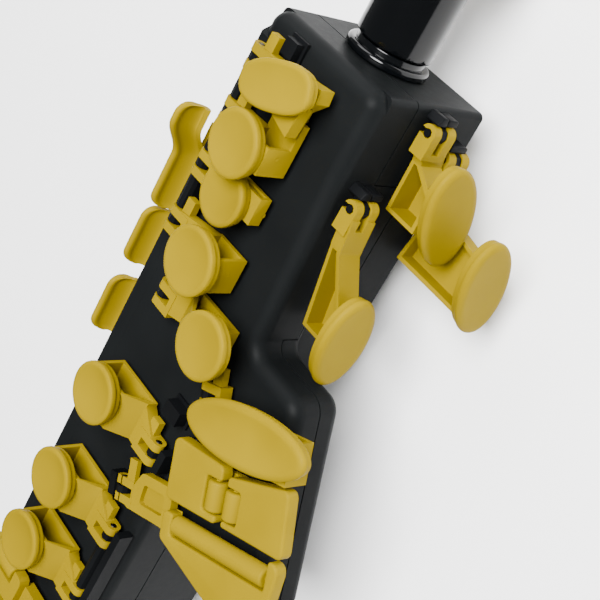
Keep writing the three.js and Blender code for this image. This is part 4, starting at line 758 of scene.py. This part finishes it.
def arc(middle, radius, start, end, steps=6):
    t = np.radians(np.linspace(start, end, steps))
    return [[middle[0] + radius * math.cos(a), middle[1] + radius * math.sin(a)] for a in t]


def make_neck():
    """Collar, tenon with its breath hole, and the cork sleeve, all turned about the neck's axis."""
    ring = [[6.8, -6.4], [9.6, -6.4], [9.6, -2.5], [8.5, -2.5], [8.5, 0.3]]
    ring += arc((12.8, 0.9), 0.6, -90, 0) + arc((12.2, 1.9), 1.2, 0, 90)
    ring += [[11.2, 3.1]] + arc((10.6, 4.5), 0.4, 0, 90) + [[6.8, 4.9], [6.8, -6.4]]
    replace_node("collar_ring", turned(ring, NECK, Y, Z, 96), "neck_collar")
    tube = [[1.2, -23.5], [2.2, -23.5], [2.2, -15.5], [6.5, -15.5], [6.5, 8.2], [5.9, 8.2], [5.9, 30.8],
            [6.5, 30.8], [6.5, 33.2], [6.2, 33.5], [4, 33.5], [4, -14.2], [1.2, -14.2], [1.2, -23.5]]
    replace_node("tenon_tube", turned(tube, NECK, Y, Z), "neck_tenon")
    sleeve = [[6.2, 8.5], [7.4, 8.5], [7.7, 9.1], [7.7, 29.9], [7.4, 30.5], [6.2, 30.5], [6.2, 8.5]]
    replace_node("cork_sleeve", turned(sleeve, NECK, Y, Z), "tenon_cork")


def cross_prism(side_view, half):
    """Closed prism along X; its outline is distance past the top end and height over the neck's axis."""
    n = len(side_view)
    points = [[x, TOP_END + d, NECK_Z + h] for x in (-half, half) for d, h in side_view]
    faces = [list(range(n))[::-1], list(range(n, 2 * n))]
    faces += [[i, (i + 1) % n, n + (i + 1) % n, n + i] for i in range(n)]
    return solid("cutter", points, faces)


def make_mouthpiece():
    """Lathe form, cut by the slanting beak, the flat table, the bore and the window.

    Past TAPER_FROM the radius falls as MOUTH_R - (MOUTH_R - TIP_R) (d / 45)^1.15.
    """
    along = MOUTH_START + MOUTH_LENGTH * np.linspace(0, 1, 60)
    end = MOUTH_START + MOUTH_LENGTH
    taper = (np.maximum(along - TAPER_FROM, 0) / (end - TAPER_FROM)) ** 1.15
    radius = MOUTH_R - (MOUTH_R - TIP_R) * taper
    start = arc((MOUTH_R - 0.6, MOUTH_START + 0.6), 0.6, -90, 0)
    profile = [[0, MOUTH_START]] + start + [[r, d] for r, d in zip(radius[2:], along[2:])] + [[0, end]]
    body = solid("mouthpiece_body", *turned(profile, NECK, Y, Z, 96))
    bore = [[0, 4], [8.0, 4], [8.0, 36.5], [6.2, 36.5], [6.2, 52.5], [0, 52.5]]
    beak = [[50, 14.98], [96, -7.84], [96, 20], [50, 20]]
    table = [[24.2, -13.5], [24.6, -8.6], [96, -8.6], [96, -13.5]]
    window = [[49.5, -9.6], [86.5, -9.6], [86.5, -5.4], [54, 4.5], [49.5, 4.5]]
    combine(body, cross_prism(beak, 15), "DIFFERENCE")
    combine(body, cross_prism(table, 15), "DIFFERENCE")
    combine(body, solid("cutter", *turned(bore, NECK, Y, Z, 64)), "DIFFERENCE")
    combine(body, cross_prism(window, 5.2), "DIFFERENCE")
    merge(body)
    set_finish(body.data, GLOSS)
    shade(body.data, MOUTH_ANGLE)
    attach(body, "mouthpiece_body")
    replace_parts(body, "mouthpiece")


def make_ligature():
    """Band with a raised edge at each end, the CAD's lugs under it, and two thumb screws."""
    low, high = BAND_START, BAND_START + BAND_LENGTH
    ring = [[BAND_R, low], [BAND_R, high], [14.2, high], [14.6, high - 0.4], [14.6, high - 1.8],
            [14.2, high - 2.2], [14.2, low + 2.2], [14.6, low + 1.8], [14.6, low + 0.4],
            [14.2, low], [BAND_R, low]]
    add_piece("ligature_band", turned(ring, NECK, Y, Z, 96), "ligature")
    replace_by_copy("ligature_lugs", "ligature", (FAR, FAR, NECK_Z - 13.5), width=0.4)
    head = [[0, -4.9], [1.3, -4.9], [1.3, 3.6], [2.35, 3.6], [2.35, 5.2], [2.7, 5.2], [3, 5.5],
            [3, 10.8], [2.7, 11.2], [0, 11.2]]
    screw_z = NECK_Z - BAND_R - 0.5 - 2.75 - 0.3
    for node, y in (("ligature_screw_1", 162.2), ("ligature_screw_2", 170.8)):
        replace_node(node + "_knob", turned(head, np.array([0, y, screw_z]), X, Z, 48), node)


# Side keys, back and small pieces

SIDE_ROD_X, SIDE_ROD_Z = -29.6, 37.5
SIDE_FOOT_TOP = 40.9
# Low and high end along Y and the lift of the finger end
SIDE_KEYS = {
    "side_key_1": (49.6, 82.0, 7.2),
    "side_key_2": (27.2, 48.6, 0.0),
    "side_key_3": (-0.8, 20.8, 0.0),
}
SIDE_CORNER = 4.2
LIFTED_END = 5.5
FULL_LIFT = 7.2
SHEET_HALF, BEAD_GROWTH, BEAD_R = 0.75, 0.4, 1.15
END_WALL = 0.35
# Points A, B and C of the side keys' curve as x and z from their rod
SIDE_FOOT, SIDE_BELLY, SIDE_CREST = np.array([-0.4, 2.9]), np.array([-4.6, 2.4]), np.array([-4.95, 12.3])


def side_touch(low, high, lift):
    """Curved sheet with a round rim: stations along Y, each a loop round a curve.

    The curve is (1 - k)^2 A + 2 k (1 - k) B + k^2 C. It ends on a quarter circle near the key's ends,
    and towards the finger end the points rise by lift s^2 (3 - 2 s), with s from 0 to 1.
    """
    end = high + (LIFTED_END if lift else 0.0)
    t = np.linspace(0, math.pi / 2, 11)
    near = low + SIDE_CORNER * (1 - np.cos(t))
    far_end = end - SIDE_CORNER * (1 - np.cos(t))[::-1]
    stations = np.concatenate([near, np.linspace(near[-1], far_end[0], 34)[1:-1], far_end])
    k = np.linspace(0, 1, 19)
    rows = []
    for y in stations:
        rise = np.clip((y - (high - 13)) / 12, 0, 1)
        rise = lift * rise * rise * (3 - 2 * rise)
        a = SIDE_FOOT + [0.0, 1.05 * rise]
        b = SIDE_BELLY + [0.5 * rise / FULL_LIFT, 0.62 * rise]
        c = SIDE_CREST + [0.9 * rise / FULL_LIFT, rise]
        curve = ((1 - k) ** 2)[:, None] * a + (2 * k * (1 - k))[:, None] * b + (k ** 2)[:, None] * c
        reach = min(y - low, end - y, SIDE_CORNER)
        short = SIDE_CORNER - math.sqrt(max(SIDE_CORNER ** 2 - (SIDE_CORNER - reach) ** 2, 0))
        length = np.concatenate([[0], np.cumsum(np.linalg.norm(np.diff(curve, axis=0), axis=1))])
        kept = max(length[-1] - short - 1.1, 1.0)
        at = np.linspace(0, kept, 16)
        line = np.stack([np.interp(at, length, curve[:, 0]), np.interp(at, length, curve[:, 1])], 1)
        way = np.gradient(line, axis=0)
        way /= np.linalg.norm(way, axis=1)[:, None]
        side = np.stack([way[:, 1], -way[:, 0]], 1)
        bead = SHEET_HALF + BEAD_GROWTH * np.clip((at - kept + 2.6) / 2.0, 0, 1) ** 2
        wall = END_WALL * np.clip(1 - reach / 1.8, 0, 1) ** 2
        inner = line + side * (bead + wall)[:, None]
        outer = line - side * bead[:, None]
        u = np.linspace(0, math.pi, 7)[1:-1]
        rim = line[-1] + BEAD_R * (np.cos(u)[:, None] * side[-1] + np.sin(u)[:, None] * way[-1])
        loop = np.concatenate([inner, rim, outer[::-1]])
        rows.append(np.stack([loop[:, 0] + SIDE_ROD_X, np.full(len(loop), y), loop[:, 1] + SIDE_ROD_Z], 1))
    return lofted(np.stack(rows))


def make_side_keys():
    for node, (low, high, lift) in SIDE_KEYS.items():
        add_piece(node + "_touch", side_touch(low, high, lift), node, angle=ROUND_ANGLE)
        replace_by_copy(node + "_foot", node, (FAR, FAR, SIDE_FOOT_TOP), width=0.5)


# Block corners [z, y, radius] and height along X of the black caps over the palm keys' pins
PALM_CAPS = [
    ([[16.8, 124.2, 0.5], [21.4, 124.2, 0.5], [21.4, 126.4, 0.9], [16.8, 126.4, 0.9]], 30.6),
    ([[21.7, 124.2, 0.4], [26.2, 124.2, 0.4], [24.6, 126.9, 0.6], [22.6, 126.9, 0.6]], 31.2),
    ([[6.2, 116.5, 0.5], [13.8, 116.5, 0.5], [13.8, 118.6, 0.8], [6.2, 118.6, 0.8]], 30.8),
    ([[31.2, 98.1, 0.5], [35.9, 98.1, 0.5], [35.9, 100.2, 0.8], [31.2, 100.2, 0.8]], 31.4),
    ([[36.2, 98.1, 0.4], [40.9, 98.1, 0.4], [39.4, 100.8, 0.6], [37.2, 100.8, 0.6]], 31.8),
]
CAP_FOOT = SIDE - 0.4
# Places of the round moulding marks on the end walls of three keys
WALL_DOTS = {"b_key": (10.8, 96.66, 56.17), "a_key": (13.9, 58.03, 54.77), "bis_key": (11.2, 77.62, 50.33)}
# Edge width of the pieces that are plain copies of their CAD node
PLAIN_COPIES = {
    "low_e_flat_key": 0.4, "low_c_key": 0.4, "octave_key": 0.5, "thumb_hook": 0.7, "reed": 0.15,
    "battery_pack": 0.8, "usb_socket": 0.1, "headphone_jack": 0.2, "breath_sensor": 0.3, "main_board": 0.1,
}


def make_small_details():
    for number, (corners, top) in enumerate(PALM_CAPS):
        form = slab(corners, quarter(0.35, CAP_FOOT, top, 4), Z, Y, X, 6)
        add_piece(f"palm_cap_{number + 1}", form, "front_shell", SMALL)
    dot = [[0.5, -0.3], [0.85, -0.3], [0.85, 0.03], [0.8, 0.07], [0.56, 0.07], [0.5, 0.03], [0.5, -0.3]]
    for node, place in WALL_DOTS.items():
        add_piece(node + "_dot", turned(dot, np.array(place), X, Z, 32), node)


def make_plain_copies():
    for node, width in PLAIN_COPIES.items():
        replace_by_copy(node + "_form", node, width=width)


def make_round_pieces():
    """Thumb rest, power button, breath tube and the screws of the case."""
    rest = [[0, -0.3], [9.5, -0.3], [9.5, -2.2]] + arc((8.3, -2.2), 1.2, 0, -90)
    rest += [[6.5, -3.3], [3, -2.9], [0, -2.8]]
    replace_node("thumb_rest_form", turned(rest, np.array([0, 81.5, 0]), Z, X), "thumb_rest", SMALL)
    knob = [[0, -1], [3.0, -1], [3.5, -0.6], [3.5, 2.5], [4.6, 2.5], [4.6, 3.7], [3.5, 3.7], [3.5, 5], [0, 5]]
    base = np.array([BUTTON_X, -TOP_END, BUTTON_Z])
    replace_node("power_button_form", turned(knob, base, Y, Z, 48), "power_button", SMALL)
    pipe = [[2.5, -29.2], [3.7, -29.2], [3.7, -15.8], [2.5, -15.8], [2.5, -29.2]]
    replace_node("breath_tube_form", turned(pipe, NECK, Y, Z, 48), "breath_tube")
    shank = [[0, 7.8], [1.0, 7.8], [1.0, 8.8], [1.3, 9.0], [1.3, 7.8], [2.4, 7.8], [2.7, 8.1], [2.7, 9.6],
             [1.5, 10], [1.5, 38.4], [1.2, 38.7], [0, 38.7]]
    for number, (x, y) in enumerate(CASE_SCREWS):
        node = f"body_screw_{number + 1}"
        replace_node(node + "_form", turned(shank, np.array([x, y, 0]), Z, X, 32), node)


# Start, direction and length of each hinge pin or rod
PINS = {
    "lh_rod": ((-18.5, 51.1, HINGE_Z), Y, 66.05),
    "g_pin": ((-8.4, 29.9, HINGE_Z), Y, 8.6),
    "f_pin": ((19, -12.5, HINGE_Z), Y, 8.6),
    "rh_rod": ((19, -116.3, HINGE_Z), Y, 75.5),
    "side_rod": ((SIDE_ROD_X, -9, SIDE_ROD_Z), Y, 77),
    "octave_pin": ((-4.5, 117, -3.4), X, 9),
    "g_sharp_pin": (TABLE_U * 33.7 + TABLE_V * 5.9 + Z * HINGE_Z, TABLE_V, 8.6),
    "table_rod": (TABLE_U * 31 + TABLE_V * -25 + Z * 50.2, TABLE_V, 19.8),
    "low_b_flat_pin": (TABLE_U * 2.5 + TABLE_V * -35.8 + Z * HINGE_Z, TABLE_V, 8.6),
}


def make_pins():
    """Pins of 2 mm with small chamfers."""
    for node, (start, axis, length) in PINS.items():
        profile = [[0, 0], [0.8, 0], [1, 0.2], [1, length - 0.2], [0.8, length], [0, length]]
        replace_node(node + "_form", turned(profile, np.array(start, float), axis, Z, 24), node, PIN)


def make_strap_ring():
    """Torus about an axis along X on a rounded base plate."""
    around, across = 72, 24
    ring_r, wire_r = 6.2, 1.5
    middle_y, middle_z = 22, -8.6
    t = np.linspace(0, 2 * math.pi, around, endpoint=False)[:, None]
    s = np.linspace(0, 2 * math.pi, across, endpoint=False)[None]
    r = ring_r + wire_r * np.cos(s)
    rows = np.stack([wire_r * np.sin(s) + 0 * t, middle_y + r * np.cos(t), middle_z + r * np.sin(t)], -1)
    i, j = np.meshgrid(np.arange(around), np.arange(across), indexing="ij")
    p, q = (i + 1) % around, (j + 1) % across
    faces = np.stack([i * across + j, p * across + j, p * across + q, i * across + q], -1).reshape(-1, 4)
    add_piece("strap_loop", (rows.reshape(-1, 3), faces), "strap_ring")
    base = [[-8, 12, 2.4], [8, 12, 2.4], [8, 32, 2.4], [-8, 32, 2.4]]
    replace_node("strap_plate", slab(base, quarter(0.6, -2.7, -0.3, 4), steps=8), "strap_ring")


# Floor and light

FLOOR_HALF = 3000
FLOOR_Z = -17.4
LIGHT_TARGET = Vector((0.01, 0.03, 0.04))
# Name, place in metres, size of the disk in metres and power in watts
LIGHTS = (
    ("key_light", (0.36, 0.62, 1.15), 0.8, 84),
    ("fill_light", (-0.55, 1.0, 0.55), 0.8, 14),
    ("side_light", (0.75, -0.75, 0.75), 0.7, 8),
)


def make_floor():
    corners = [[x * FLOOR_HALF, y * FLOOR_HALF, FLOOR_Z] for x, y in SQUARE]
    mesh = new_mesh("floor", corners, [[0, 1, 2, 3]])
    n = Nodes("pale_floor")
    n.shader.inputs["Base Color"].default_value = (0.93, 0.93, 0.93, 1)
    n.shader.inputs["Roughness"].default_value = 0.9
    mesh.materials.append(n.material)
    new_object("floor", mesh)


def set_lights():
    world = bpy.data.worlds.new("studio")
    world.use_nodes = True
    background = world.node_tree.nodes["Background"]
    background.inputs["Color"].default_value = (1, 1, 1, 1)
    background.inputs["Strength"].default_value = 0.3
    bpy.context.scene.world = world
    for name, place, size, power in LIGHTS:
        data = bpy.data.lights.new(name, "AREA")
        data.shape = "DISK"
        data.size = size
        data.energy = power
        light = new_object(name, data)
        light.location = place
        light.rotation_euler = (LIGHT_TARGET - Vector(place)).to_track_quat("-Z", "Y").to_euler()


def dress_cad_nodes():
    for node, shown in frame["nodes"].items():
        set_finish(shown.data, SLOT_FINISH[NODE_SLOT[node]])


set_camera()
dress_cad_nodes()
make_case()
make_stack_keys()
make_palm_keys()
make_table_keys()
make_rollers()
make_neck()
make_mouthpiece()
make_ligature()
make_side_keys()
make_small_details()
make_plain_copies()
make_round_pieces()
make_pins()
make_strap_ring()
make_floor()
set_lights()
bpy.context.view_layer.update()
